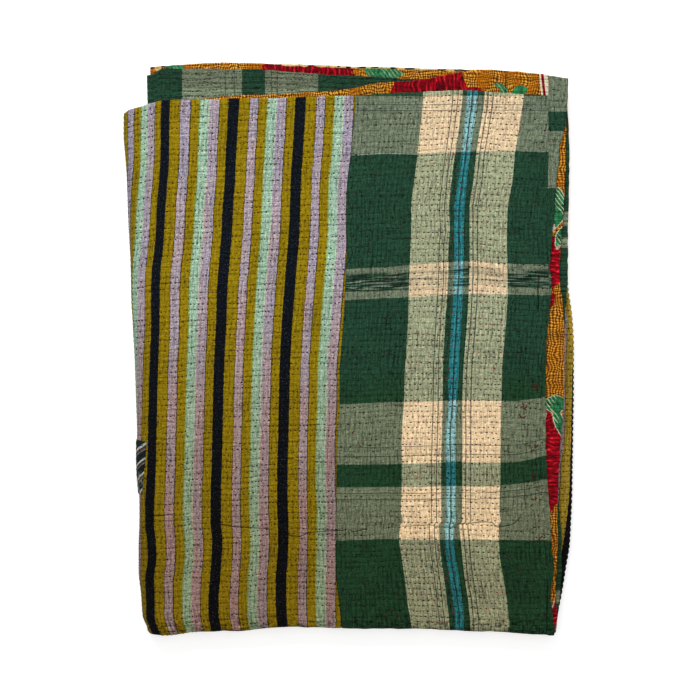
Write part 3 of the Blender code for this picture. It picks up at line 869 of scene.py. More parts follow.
class Recipe:
    """Builds one material's nodes; each method adds a node and gives back its output."""

    def __init__(self, name):
        self.material = bpy.data.materials.new(name)
        self.material.use_nodes = True
        self.tree = self.material.node_tree
        self.shader = self.tree.nodes["Principled BSDF"]

    def node(self, kind, inputs, **settings):
        """Add a node, set it up, and fill its inputs with values or other outputs."""
        item = self.tree.nodes.new(kind)
        for key, value in settings.items():
            setattr(item, key, value)
        for key, value in inputs.items():
            if isinstance(value, Value):
                self.tree.links.new(value.socket, item.inputs[key])
            else:
                item.inputs[key].default_value = value
        return item

    def value(self, kind, inputs, output=0, **settings):
        """Add a node and give back one of its outputs."""
        return Value(self, self.node(kind, inputs, **settings).outputs[output])

    def math(self, operation, first, second=0.0):
        """One step of arithmetic."""
        return self.value("ShaderNodeMath", {0: first, 1: second, 2: 0.0}, operation=operation)

    def total(self, values):
        """The sum of several values."""
        result = values[0]
        for value in values[1:]:
            result = result + value
        return result

    def spread(self, value, low, high, start=0.0, end=1.0, smooth=False):
        """Carry a value from one range to another, held at the ends."""
        kind = "SMOOTHSTEP" if smooth else "LINEAR"
        inputs = {0: value, 1: low, 2: high, 3: start, 4: end}
        return self.value("ShaderNodeMapRange", inputs, interpolation_type=kind)

    def fall(self, value, low, high, start=1.0, smooth=False):
        """The starting share up to the low end of a range, and nothing past its high end."""
        return self.spread(value, low, high, start, 0.0, smooth)

    def mix(self, factor, first, second, blend="MIX"):
        """The first colour turned into the second as far as the factor says."""
        inputs = {0: factor, 6: first, 7: second}
        return self.value("ShaderNodeMix", inputs, 2, data_type="RGBA", blend_type=blend)

    def cover(self, share, under, colour):
        """A screen colour laid over what is under it, as far as the share says."""
        return self.mix(share, under, linear(colour))

    def tint(self, colour, dye, factor=1.0):
        """The colour times a dye, as far as the factor says."""
        return self.mix(factor, colour, dye, "MULTIPLY")

    def darken(self, colour, tone):
        """The colour times one tone, lighter where the tone is over one."""
        return self.tint(colour, self.vector(tone, tone, tone))

    def ramp(self, value, stops, constant=True):
        """Colours along a value: each stop is a place from 0 to 1 and a colour."""
        item = self.node("ShaderNodeValToRGB", {0: value})
        item.color_ramp.interpolation = "CONSTANT" if constant else "LINEAR"
        elements = item.color_ramp.elements
        elements.remove(elements[1])
        elements[0].position = stops[0][0]
        elements[0].color = stops[0][1]
        for place, colour in stops[1:]:
            elements.new(place).color = colour
        return Value(self, item.outputs[0])

    def shades(self, value, colour, factors, last, lightest):
        """A colour from dark to light along a value, and the lightest colour at the last place."""
        stops = [(place, linear(shade(colour, factor))) for place, factor in factors]
        return self.ramp(value, stops + [(last, linear(lightest))], constant=False)

    def attribute(self, name):
        """The three parts of a vector that the piece's points carry."""
        return self.parts(self.value("ShaderNodeAttribute", {}, "Vector", attribute_name=name))

    def position(self):
        """The three parts of a point's place on the object."""
        return self.parts(self.value("ShaderNodeTexCoord", {}, "Object"))

    def parts(self, vector):
        """The three parts of a vector."""
        item = self.node("ShaderNodeSeparateXYZ", {0: vector})
        return [Value(self, output) for output in item.outputs]

    def vector(self, first, second, third=0.0):
        """A vector from its parts."""
        return self.value("ShaderNodeCombineXYZ", {0: first, 1: second, 2: third})

    def noise(self, first, second, width, length, detail=2.0, offset=0.0):
        """Cloudy noise from 0 to 1 whose spots are width by length, in metres."""
        wide = first * (1.0 / width)
        long = second * (1.0 / length)
        inputs = {"Vector": self.vector(wide, long, offset), "Scale": 1.0, "Detail": detail}
        return self.value("ShaderNodeTexNoise", inputs)

    def waves(self, first, second, offset, bend, detail, detail_size, slant="X"):
        """Ridges from 0 to 1 across the first value, bent by noise as the second runs on."""
        inputs = {"Vector": self.vector(first, second, offset), "Scale": 1.0,
                  "Distortion": bend, "Detail": detail, "Detail Scale": detail_size}
        return self.value("ShaderNodeTexWave", inputs, "Fac", bands_direction=slant)

    def drift(self, *sizes, **options):
        """Cloudy noise that lies about zero."""
        return self.noise(*sizes, **options) - 0.5

    def ridge(self, value, half_width):
        """One along the line where noise crosses its middle, falling to nothing beside it."""
        away = abs(value - 0.5)
        return self.fall(away, 0.0, half_width, smooth=True)

    def line(self, value, centre, half_width, soft=0.00012):
        """One within half_width of the centre, nothing outside, soft at the edge."""
        away = abs(value - centre)
        return self.fall(away, half_width - soft, half_width + soft)

    def bands(self, value, ranges, soft=0.0002):
        """One where the value lies in any of the ranges, each a low and a high end."""
        return self.total([self.line(value, 0.5 * (low + high), 0.5 * (high - low), soft)
                           for low, high in ranges])

    def finish(self, colour, height, roughness=0.92):
        """Colour, a millimetre-scale bump and dull cotton's gloss, on the shader."""
        links = self.tree.links
        bump = self.node("ShaderNodeBump", {"Height": height, "Strength": 1.0, "Distance": MM})
        links.new(colour.socket, self.shader.inputs["Base Color"])
        links.new(bump.outputs[0], self.shader.inputs["Normal"])
        self.shader.inputs["Roughness"].default_value = roughness
        self.shader.inputs["Specular IOR Level"].default_value = 0.10
        return self.material


def sewn_surface(recipe, colour, thread, puckers=1.0, contrast=1.0, rows=0.10, dashes=1.0,
                 calm=0.0, gathers=1.0):
    """Weave, quilting and painted shade that every cloth shares, laid over its own colour.

    Height, in millimetres: an uneven valley along each row of stitches, a dimple at
    each stitch, drawn-up puckers between the rows, and the threads of the weave.
    Colour: the weave's threads, bark and speckle, broad mottling, painted shade in the
    row valleys, wrinkles, gathers and furrows, painted light and shade of small wrinkles
    near the bottom edge, painted shade darker and warmer towards the bottom, painted
    shade along the creases, and the drawn stitches. puckers and gathers say how strong
    they stand, contrast how far the threads, bark, speckle and furrows mark the colour,
    rows how deep the painted shade in the row valleys is, dashes how plain the drawn
    stitches are, and calm where the cloth is evener.
    """
    over, down, phase = recipe.attribute("weave")
    along_row, sewn, _ = recipe.attribute("sewing")
    x, y, _ = recipe.position()
    from_row = abs(recipe.math("FRACT", phase) - 0.5)
    slack = recipe.noise(over, down, 0.030, 0.011, offset=21.0)
    depth = recipe.spread(slack, 0.36, 0.66, 0.10, 1.35)
    valley = recipe.fall(from_row, 0.0, 0.24, smooth=True) * depth
    beat = recipe.math("COSINE", along_row * (2.0 * math.pi))
    near_row = recipe.fall(from_row, 0.0, 0.30, smooth=True)
    stitch = near_row * recipe.spread(beat, -0.4, 1.0, smooth=True)
    bark = recipe.drift(over, down, 0.0019, 0.0075, 3.0)
    drawn = recipe.drift(over, down, 0.0110, 0.0030, offset=4.0)
    lumps = recipe.drift(over, down, 0.0050, 0.0052, offset=17.0)
    soft = recipe.drift(over, down, 0.034, 0.026, offset=9.0)
    wrinkle = recipe.ridge(recipe.noise(over, down, 0.045, 0.0105, 1.0, offset=31.0), 0.020)
    gather = recipe.ridge(recipe.noise(over, down, 0.0080, 0.050, 1.0, offset=37.0), 0.030)
    where = recipe.noise(over, down, 0.070, 0.040, offset=33.0)
    where = recipe.spread(where, 0.44, 0.60)
    wrinkle = wrinkle * where
    gather = gather * (1.0 - where)
    furrow = recipe.waves(over * 56.0, down * 17.0, 0.0, 5.5, 2.5, 1.3)
    furrowed = recipe.noise(over, down, 0.060, 0.040, offset=53.0)
    furrowed = recipe.spread(furrowed, 0.36, 0.58, 0.15, 1.0)
    cracks = recipe.spread(furrow, 0.62, 0.92) * furrowed
    warp = recipe.drift(over, down, 0.00045, 0.0060, 1.0, offset=2.0)
    weft = recipe.drift(over, down, 0.0060, 0.00045, 1.0, offset=6.0)
    threads = warp + weft
    speckle = recipe.drift(over, down, 0.0019, 0.0017, 1.5, offset=14.0)
    crease_side, crease_depth, _ = recipe.attribute("crease")
    waver = recipe.drift(x, y, 0.0035, 0.0035, 1.0, offset=73.0)
    beside = abs(crease_side + waver * 1.6)
    groove = recipe.fall(beside, 0.0, 1.9, smooth=True) * crease_depth
    heights = (
        (valley, -0.30), (stitch, -0.24), (bark, 1.70), (drawn, 1.90), (lumps, 1.90),
        (soft, 3.00), (wrinkle, -0.45), (gather, -0.28 * gathers), (cracks, -0.36))
    raised = [part * (height * puckers) for part, height in heights]
    height = recipe.total([groove * -0.75] + raised + [threads * 0.20])
    # Painted light and shade of small wrinkles near the bottom edge, laid into the colour
    wrinkle_light_and_shade = recipe.drift(over, down, 0.0100, 0.0028, offset=59.0)
    low_end = recipe.fall(y, -0.350, -0.330)
    # The colour's weave texture, with painted shade in the row valleys, wrinkles, gathers and
    # furrows
    grain_and_shade = recipe.total([
        threads * (0.45 * contrast), bark * (1.15 * contrast), speckle * (1.15 * contrast),
        valley * -rows, wrinkle * -0.32, gather * (-0.20 * gathers),
        cracks * (-0.26 * contrast), (wrinkle_light_and_shade - 0.05) * (low_end * 3.2)])
    grain_and_shade = 1.0 + grain_and_shade * recipe.spread(calm, 0.0, 1.0, 1.0, 0.60)
    cloud = recipe.noise(x, y, 0.055, 0.075, 3.0, offset=1.0)
    cloud = recipe.spread(cloud, 0.25, 0.75, 0.90, 1.08)
    tone = recipe.math("MAXIMUM", grain_and_shade * cloud, 0.15)
    result = recipe.darken(colour, tone)
    # Painted shade: the colour darker and warmer towards the bottom, as the light falls off
    painted_shade = recipe.fall(y + (cloud - 0.5) * 0.12, -0.24, 0.10, 0.70)
    result = recipe.tint(result, (0.72, 0.65, 0.57, 1.0), painted_shade)
    # Painted shade along the creases
    crease_shade = recipe.fall(beside, 0.20, 0.95, 0.95)
    crease_shade = crease_shade * recipe.spread(crease_depth, 0.1, 0.9, 0.25, 1.0)
    crease_shade = crease_shade * recipe.spread(crease_depth, 0.0, 0.1)
    result = recipe.tint(result, (0.12, 0.10, 0.10, 1.0), crease_shade)
    seen = recipe.spread(beat, 0.25, 0.55)
    dash = recipe.fall(from_row, 0.05, 0.085, dashes) * (seen * sewn)
    result = recipe.cover(dash, result, thread)
    return result, height


def striped_cotton(settings):
    """Handloom stripes: black, olive, lavender, olive, mint, lavender, olive."""
    recipe = Recipe("striped cotton")
    over, down, _ = recipe.attribute("weave")
    blur = recipe.noise(over, down, 0.0005, 0.004, offset=12.0)
    waver = recipe.noise(over, down, 0.012, 0.0050, 1.0, offset=41.0)
    place = over + BLACK_HALF + (blur - 0.5) * 0.0013 + (waver - 0.5) * 0.0016
    share = recipe.math("FRACT", place * (1.0 / STRIPE_REPEAT))
    black, olive, lavender, mint, line = [linear(colour) for colour in (
        settings.black, settings.olive, settings.lavender, settings.mint,
        shade(settings.olive, 0.33))]
    plain = recipe.ramp(share, (
        (0.0, black), (0.1555, olive), (0.309, line), (0.319, lavender), (0.439, line),
        (0.450, olive), (0.582, mint), (0.7205, lavender), (0.862, line), (0.873, olive),
        (0.994, line)))
    long = recipe.noise(over, down, 0.013, 0.120, 3.0, offset=5.0)
    x, y, _ = recipe.position()
    long = long + recipe.spread(y, -0.25, 0.32, 0.09, -0.13)
    bluish = recipe.fall(long, 0.30, 0.50)
    pinkish = recipe.spread(long, 0.50, 0.70)

    def within(low, high):
        ends = recipe.fall(share, high - 0.0005, high + 0.0005)
        return recipe.spread(share, low - 0.0005, low + 0.0005) * ends

    in_mint = within(0.5820, 0.7205)
    in_lavender = within(0.3190, 0.4410) + within(0.7210, 0.8640)
    dyed = recipe.cover(in_lavender * (bluish * 0.65), plain, settings.lavender_blue)
    dyed = recipe.cover(in_lavender * (pinkish * 0.75), dyed, settings.lavender_pink)
    kept = recipe.cover(in_mint * (pinkish * 0.45), dyed, shade(settings.mint, 1.12))
    greener = recipe.noise(over, down, 0.0030, 0.022, offset=75.0)
    greener = recipe.spread(greener, 0.52, 0.66, 0.0, 0.55)
    kept = recipe.cover(in_mint * greener, kept, (0.43, 0.66, 0.46))
    bleed = recipe.line(share, 0.583, 0.011, 0.010) * 0.85
    kept = recipe.cover(bleed, kept, (0.52, 0.64, 0.32))
    rim = recipe.noise(over, down, 0.0020, 0.012, offset=77.0)
    rim = recipe.spread(rim, 0.44, 0.60, 0.0, 0.75)
    rim = recipe.line(share, 0.719, 0.010, 0.006) * rim
    kept = recipe.cover(rim, kept, (0.80, 0.79, 0.68))
    pale = in_mint + in_lavender
    picks = recipe.noise(over, down, 0.0017, 0.0013, 1.0, offset=79.0)
    light_pick = recipe.spread(picks, 0.55, 0.69, 0.0, 0.75) * pale
    dark_pick = recipe.fall(picks, 0.30, 0.42, 0.62) * pale
    kept = recipe.cover(light_pick, kept, (0.83, 0.82, 0.78))
    kept = recipe.tint(kept, (0.42, 0.38, 0.40, 1.0), dark_pick)
    # Painted light falloff: pale stripes lighter at the top and darker and warmer at the bottom,
    # black stripes bluer at the top and darker at the bottom
    below = recipe.fall(y, -0.21, 0.11)
    painted_falloff = recipe.mix(below, (1.10, 1.06, 1.05, 1.0), (0.93, 0.80, 0.70, 1.0))
    kept = recipe.tint(kept, painted_falloff, pale)
    in_black = recipe.fall(share, 0.1550, 0.1560)
    painted_black_falloff = recipe.mix(below, (0.82, 1.12, 1.22, 1.0), (0.50, 0.44, 0.42, 1.0))
    kept = recipe.tint(kept, painted_black_falloff, in_black)
    lint = recipe.spread(picks, 0.62, 0.76, 0.0, 0.90)
    kept = recipe.cover(in_black * lint, kept, (0.34, 0.34, 0.36))
    streak = recipe.noise(over, down, 0.0011, 0.070, offset=8.0)
    streak = recipe.spread(streak, 0.2, 0.8, 0.88, 1.11)
    streaked = recipe.darken(kept, streak)
    # Painted shade where the cloth turns down round the left fold: greyer and darker near the edge
    inside = x + 0.272 + y * 0.036
    painted_fold_shade = recipe.fall(inside, 0.002, 0.020)
    painted_shade = recipe.tint(streaked, (0.74, 0.76, 0.78, 1.0))
    streaked = recipe.mix(painted_fold_shade, streaked, painted_shade)
    # Painted highlight where the stripes turn round the right fold: paler and lighter
    at_right = recipe.spread(x, 0.255, 0.262) * (1.0 - in_black)
    painted_fold_highlight = recipe.cover(0.10, streaked, (0.62, 0.55, 0.48))
    painted_fold_highlight = recipe.tint(painted_fold_highlight, (1.30, 1.28, 1.25, 1.0))
    streaked = recipe.mix(at_right, streaked, painted_fold_highlight)
    colour, height = sewn_surface(recipe, streaked, settings.thread, 1.15, rows=0.15)
    return recipe.finish(colour, height)


def plaid_cotton(settings):
    """Handloom plaid: dark, light and blue warp over bands of dark and cream weft."""
    recipe = Recipe("plaid cotton")
    over, down, _ = recipe.attribute("weave")
    blur = recipe.noise(over, down, 0.0005, 0.004, offset=12.0)
    blur_down = recipe.noise(over, down, 0.004, 0.0005, offset=13.0)
    waver = recipe.drift(over, down, 0.012, 0.0050, 1.0, offset=41.0)
    across = over + (blur - 0.5) * 0.0009 + waver * 0.0010 + -WARP_START
    column = across * WARP_SCALE
    wave = recipe.drift(over, down, 0.0050, 0.012, 1.0, offset=43.0)
    drop = down + (blur_down - 0.5) * 0.0012 + wave * 0.0012
    places = [0.0] + [(MM * edge - WARP_START) * WARP_SCALE for edge in AFTER_SEAM]

    def warps(dark, light, blue):
        colours = (dark, light, dark, blue, dark, light, dark)
        return recipe.ramp(column, list(zip(places, [linear(c) for c in colours])))

    on_dark = warps(settings.dark_green, settings.light_on_dark, settings.teal)
    on_light = warps(settings.grey_green, settings.cream, settings.blue)
    is_light = recipe.bands(drop, CREAM_WEFTS)
    tie = recipe.noise(over, down, 0.040, 0.0024, 3.0, offset=7.0)
    reach = recipe.line(down, 0.3575, 0.0115, 0.0015)
    pale_warp = recipe.bands(over, PALE_WARPS)
    resist = recipe.spread(pale_warp, 0.0, 1.0, 1.0, 0.45)
    tied = recipe.spread(tie, 0.40, 0.47) * reach * resist
    weft = is_light * (1.0 - tied)
    inky = recipe.spread(tie, 0.52, 0.57, 0.0, 0.80) * reach
    inky = inky * resist
    frayed = recipe.noise(over, down, 0.034, 0.0017, offset=81.0)
    frayed = recipe.spread(frayed, 0.60, 0.66, 0.0, 0.65) * (reach * tied)
    lower = recipe.spread(down, 0.46, 0.50)
    front = recipe.spread(over, -0.2, -0.1)
    in_blue = recipe.line(over, 0.38255, 0.0056, 0.0004)
    not_ground = recipe.math("MAXIMUM", pale_warp, in_blue)
    farther = recipe.spread(down, 0.52, 0.64)
    lift = recipe.mix(farther, (1.22, 1.22, 1.21, 1.0), (1.45, 1.46, 1.44, 1.0))
    lift = recipe.mix(not_ground, (1.14, 1.11, 1.04, 1.0), lift)
    lift = recipe.mix(front, (1.30, 1.29, 1.26, 1.0), lift)
    bright = recipe.tint(on_light, lift, lower * 0.8)
    ground = (1.0 - not_ground) * (lower * front)
    on_dark = recipe.tint(on_dark, (0.92, 1.0, 0.78, 1.0), ground)
    plain = recipe.mix(weft, on_dark, bright)
    plain = recipe.tint(plain, (0.30, 0.21, 0.24, 1.0), inky)
    plain = recipe.cover(frayed, plain, (0.66, 0.69, 0.64))
    pale_pick = recipe.line(drop, 0.1962, 0.0006) * recipe.fall(over, 0.321, 0.322, 0.55)
    plain = recipe.cover(pale_pick, plain, (0.72, 0.76, 0.66))
    fine_down = recipe.total([recipe.line(drop, place, 0.00045) for place in WEFT_LINES])
    fine_over = recipe.total([recipe.line(over, place, 0.00056) for place in WARP_LINES])
    fine = recipe.math("MAXIMUM", fine_down * 0.80, fine_over * 0.88)
    middle = recipe.line(over, 0.3826, 0.0009) * 0.85
    edge = recipe.line(over, 0.3773, 0.0006) + recipe.line(over, 0.3878, 0.0006)
    middle = recipe.math("MAXIMUM", middle, edge * 0.35)
    lined = recipe.cover(recipe.math("MAXIMUM", fine, middle), plain, settings.navy)
    streak_over = recipe.noise(over, down, 0.0014, 0.016, 3.0, offset=8.0)
    streak_over = recipe.spread(streak_over, 0.2, 0.8, 0.62, 1.36)
    streak_down = recipe.noise(over, down, 0.060, 0.0014, offset=9.0)
    streak_down = recipe.spread(streak_down, 0.2, 0.8, 0.90, 1.09)
    streak = streak_over * streak_down
    streaked = recipe.darken(lined, streak)
    _, y, _ = recipe.position()
    # Painted shade on the end of the turned panel that shows above the top layer's edge
    end = recipe.spread(y, 0.3275, 0.3310) * recipe.fall(over, -0.2, -0.1)
    painted_end_shade = recipe.mix(weft, (0.86, 0.86, 0.86, 1.0), (0.70, 0.68, 0.68, 1.0))
    streaked = recipe.tint(streaked, painted_end_shade, end)
    calm = pale_warp * weft
    colour, height = sewn_surface(
        recipe, streaked, settings.thread, 1.0, 1.25, calm=calm, gathers=1.6)
    return recipe.finish(colour, height)


def printed_cotton(settings):
    """A floral print: crimson flowers and green leaves, edged in cream, on a gold ground.

    The ground is drawn up into ridges, which run down the top edge and across the side.
    The gold and the crimson are painted darker between their ridges and lighter on them:
    painted shade and painted highlight.
    """
    recipe = Recipe("printed cotton")
    crimson, green, cream = recipe.attribute("motif")
    _, _, black = recipe.attribute("sewing")
    x, y, _ = recipe.position()
    at_top = recipe.spread(y, 0.284, 0.288)
    at_side = 1.0 - at_top
    bent_x = x + recipe.drift(x, y, 0.017, 0.017, 1.0, offset=61.0) * 0.012
    bent_y = y + recipe.drift(x, y, 0.017, 0.017, 1.0, offset=67.0) * 0.012
    run = bent_x * at_top + bent_y * at_side
    side = bent_y * at_top + bent_x * at_side
    narrow = recipe.waves(run * 104.0, side * 58.0, 0.0, 6.0, 1.5, 0.8)
    columns = recipe.waves(side * 84.0, run * 50.0, 5.0, 4.0, 1.5, 0.9)
    broad = recipe.waves(run * 58.0, side * 22.0, 3.0, 3.4, 2.0, 1.0)
    dots = recipe.noise(x, y, 0.0017, 0.0017, offset=3.0)
    patchy = recipe.noise(x, y, 0.020, 0.026, offset=5.0)
    work = recipe.spread(patchy, 0.42, 0.56, recipe.spread(at_side, 0.0, 1.0, 0.25, 0.65), 1.0)
    # The gold's dark and light follow the narrow ridges: painted shade between them and painted
    # highlight on them, over the print's crossing bands and dots
    painted_ridge_shade = (narrow - 0.5) * (work * recipe.spread(at_side, 0.0, 1.0, 0.95, 0.70))
    crossed = (columns - 0.5) * (work * 0.85)
    gold_place = 0.42 + painted_ridge_shade + crossed + (dots - 0.5) * 0.7
    gold = recipe.shades(
        gold_place, settings.gold, ((0.04, 0.46), (0.34, 0.90), (0.60, 1.22)),
        0.95, (0.90, 0.69, 0.28))
    petal_run = side * recipe.spread(at_top, 0.0, 1.0, 1.9, 1.0)
    petal = recipe.noise(run, petal_run, 0.0030, 0.0160, 3.0, offset=2.0)
    # The crimson's dark and light follow the petal ridges: painted shade in their folds and
    # painted highlight on them
    petal_place = petal * 0.88 + broad * 0.12
    flower = recipe.shades(
        petal_place, settings.crimson, ((0.30, 0.58), (0.51, 0.94), (0.60, 1.38)),
        0.70, (0.84, 0.17, 0.20))
    vein = recipe.waves(x * 120.0, y * 95.0, 0.0, 2.0, 1.0, 1.0, "DIAGONAL")
    leaf_tone = recipe.noise(x, y, 0.004, 0.009, offset=8.0)
    leaf_tone = recipe.spread(leaf_tone, 0.3, 0.7)
    dark_leaf = linear(shade(settings.leaf_green, 0.55))
    leaf = recipe.cover(leaf_tone, dark_leaf, shade(settings.leaf_green, 1.30))
    veined = recipe.spread(vein, 0.80, 0.92) * recipe.spread(patchy, 0.46, 0.56, 0.0, 0.85)
    veined = veined * recipe.spread(at_top, 0.0, 1.0, 1.0, 0.45)
    leaf = recipe.cover(veined, leaf, (0.85, 0.86, 0.72))
    rough_edge = recipe.drift(x, y, 0.005, 0.005) * 3.4
    is_flower = recipe.spread(crimson + rough_edge, -0.15, 0.15)
    leaf_edge = green + rough_edge * 0.6
    is_leaf = recipe.spread(leaf_edge, -0.15, 0.15)
    outline = recipe.line(leaf_edge, 0.0, 0.40, 0.15) * (at_side * 0.85)
    lit = recipe.spread(at_side, 0.0, 1.0, 1.0, 1.34)
    flower = recipe.darken(flower, lit)
    colour = recipe.mix(is_flower, gold, flower)
    colour = recipe.mix(is_leaf, colour, leaf)
    colour = recipe.cover(outline, colour, (0.90, 0.88, 0.76))
    hem_thread = recipe.spread(y, 0.338, 0.341) * recipe.fall(x, 0.18, 0.20)
    pale = recipe.mix(hem_thread, linear((0.88, 0.84, 0.74)), linear((0.84, 0.71, 0.46)))
    colour = recipe.mix(recipe.spread(cream, -0.1, 0.2), colour, pale)
    colour = recipe.cover(recipe.spread(black, -0.1, 0.2), colour, (0.05, 0.05, 0.05))
    colour, height = sewn_surface(recipe, colour, (0.26, 0.10, 0.05), 0.9, 0.55, dashes=0.35)
    ridges = narrow * 0.34 + broad * 0.30 + petal * 1.2
    return recipe.finish(colour, height + ridges)


def feathered_cotton(settings):
    """A navy scrap with pale feathered stripes running slantwise round the fold.

    The stripes repeat every 21 mm down the cloth. Towards the middle of the quilt they
    climb two thirds as fast as they run, and half as fast again further down.
    """
    recipe = Recipe("feathered cotton")
    over, down, _ = recipe.attribute("weave")
    ragged = recipe.drift(over, down, 0.0022, 0.0012)
    inward = LEFT_FOLD - over
    steeper = recipe.spread(down, 0.450, 0.500, 0.66, 1.50)
    slant = down + inward * steeper + -0.4524 + ragged * 0.0036
    wave = recipe.math("FRACT", slant * (1.0 / FEATHER_REPEAT))
    cloudy = recipe.noise(over, down, 0.006, 0.004, offset=3.0)
    cloudy = recipe.spread(cloudy, 0.35, 0.65)
    ground = recipe.mix(cloudy, linear((0.050, 0.075, 0.090)), linear((0.060, 0.155, 0.165)))
    mottle = recipe.noise(over, down, 0.0030, 0.0050, offset=83.0)
    mottle = recipe.spread(mottle, 0.46, 0.58, 0.0, 0.80) * recipe.spread(down, 0.474, 0.484)
    ground = recipe.cover(mottle, ground, (0.50, 0.53, 0.46))
    pale = recipe.line(wave, 0.0, 0.075, 0.030) + recipe.line(wave, 1.0, 0.075, 0.030)
    colour = recipe.cover(recipe.line(wave, 0.235, 0.060, 0.03), ground, (0.33, 0.26, 0.22))
    colour = recipe.cover(recipe.line(wave, 0.315, 0.025, 0.015), colour, (0.52, 0.49, 0.46))
    colour = recipe.cover(pale * 0.92, colour, (0.76, 0.78, 0.76))
    colour, height = sewn_surface(recipe, colour, settings.thread, 0.5, 0.8)
    return recipe.finish(colour, height)


def sewing_thread(_):
    """Cotton thread: each stitch carries its own colour, twisted along its length."""
    recipe = Recipe("sewing thread")
    red, green, blue = recipe.attribute("dye")
    x, y, _ = recipe.position()
    twist = recipe.noise(x + y * 0.6, y, 0.0004, 0.0006, 1.0)
    tone = recipe.spread(twist, 0.2, 0.8, 0.75, 1.2)
    colour = recipe.darken(recipe.vector(red, green, blue), tone)
    return recipe.finish(colour, twist * 0.1)


def threads_mesh(name, centres, ways, ups, half_long, half_wide, half_high):
    """Many short threads in one mesh: two square rings between a tip at each end.

    The tips dip below the cloth and the rings stand about a quarter of the length in, so
    a thread is a low spindle of sixteen triangles.
    """
    sides = np.cross(ups, ways)
    count = len(centres)
    long = half_long[:, None]
    ring = ((1.0, 0.0), (0.0, 1.0), (-1.0, 0.0), (0.0, -1.0))
    points = [centres - long * ways - 0.5 * half_high * ups]
    for end in (-0.55, 0.55):
        for side, up in ring:
            wide = side * half_wide[:, None] * sides
            points.append(centres + end * long * ways + wide + up * half_high * ups)
    points.append(centres + long * ways - 0.5 * half_high * ups)
    points = np.stack(points, axis=1).reshape(-1, 3)
    faces = []
    for corner in range(4):
        after = (corner + 1) % 4
        faces.append((0, 1 + corner, 1 + after))
        faces.append((1 + corner, 5 + corner, 5 + after))
        faces.append((1 + corner, 5 + after, 1 + after))
        faces.append((9, 5 + after, 5 + corner))
    faces = np.array(faces)[None, :, :] + THREAD_POINTS * np.arange(count)[:, None, None]
    return smooth_mesh(name, points, faces.reshape(-1, 3))


def lay_grid(first, last, shares, along):
    """A grid between two curved sides: shares run from 0 to 1 across, along runs down."""
    across = first[:, None] + (last - first)[:, None] * shares[None, :]
    return across, np.repeat(along[:, None], len(shares), axis=1)


def graded(width, size, first_hem, last_hem):
    """Shares from 0 to 1 across a width, close together beside a rounded hem."""
    start = HEM_LINES if first_hem else SEAM_LINES
    end = HEM_LINES if last_hem else SEAM_LINES
    middle = steps(start[-1], width - end[-1], size)[1:-1]
    return np.concatenate((start, middle, (width - end)[::-1])) / width


def down_lines(size):
    """Distances down the cloth from its top hem to just under the lower fold."""
    return np.concatenate((HEM_LINES[:4], steps(size, ROW_LENGTH + UNDER_FOLD, size)))


def top_weave(here):
    """Place in the weave for the panels on the top layer, followed round their folds."""
    return woven_place(here.flat_x, here.y), weft_place(here.x, here.y)


def strip_weave(here):
    """The side strip's weave: the plaid's dark warp, cut lower down the same bands."""
    drop = 0.034 * np.clip((here.y - 0.125) / 0.080, 0.0, 1.0)
    drop = drop + 0.013 * np.clip((here.y - 0.084) / 0.008, 0.0, 1.0)
    return 0.48 + (here.x - 0.250), weft_place(here.x, here.y) - drop


def fold_weave(here):
    """Stripes that run down the right fold, drifting across it towards the bottom."""
    beside = curve(FOLD_STRIPE, FOLD_COLUMNS, "before", here.y) + here.across - RIGHT_FOLD
    crowd = curve(FOLD_STRIPE, FOLD_COLUMNS, "crowd", here.y)
    return np.where(beside < 0.0, crowd, 1.0) * beside - BLACK_HALF, here.along


def turned_weave(here):
    """The same plaid a quarter turn round: its bands of weft stand side by side."""
    pale = np.zeros_like(here.y)
    for low, high in PALE_WEFTS:
        inside = np.minimum(here.y / MM - low, high - here.y / MM)
        pale = np.maximum(pale, np.clip(inside + 0.5, 0.0, 1.0))
    at_hem = 0.692 - 0.025 * pale
    return -0.2 - here.y, np.where(here.x > 0.20, at_hem, here.x + 0.7187)


def edge_marks(here, along):
    """Cream thread and black marks along the lowest print's far edge, in millimetres inside."""
    from_edge = (FULL_LENGTH - along) / MM
    blot = 1.8 * noise(here.x, here.y, 0.0062, SEED + 11) - 0.35
    black = np.minimum(blot, 2.4 - from_edge)
    cream = np.minimum(2.3 + noise(here.x, here.y, 0.0070, SEED + 12) - from_edge, 0.6)
    near = here.x > -0.085
    return np.where(near, cream, OUTSIDE), np.where(near, black, OUTSIDE)


def colour_setting(**told):
    """A colour that a user may change."""
    return bpy.props.FloatVectorProperty(subtype="COLOR_GAMMA", min=0.0, max=1.0, **told)


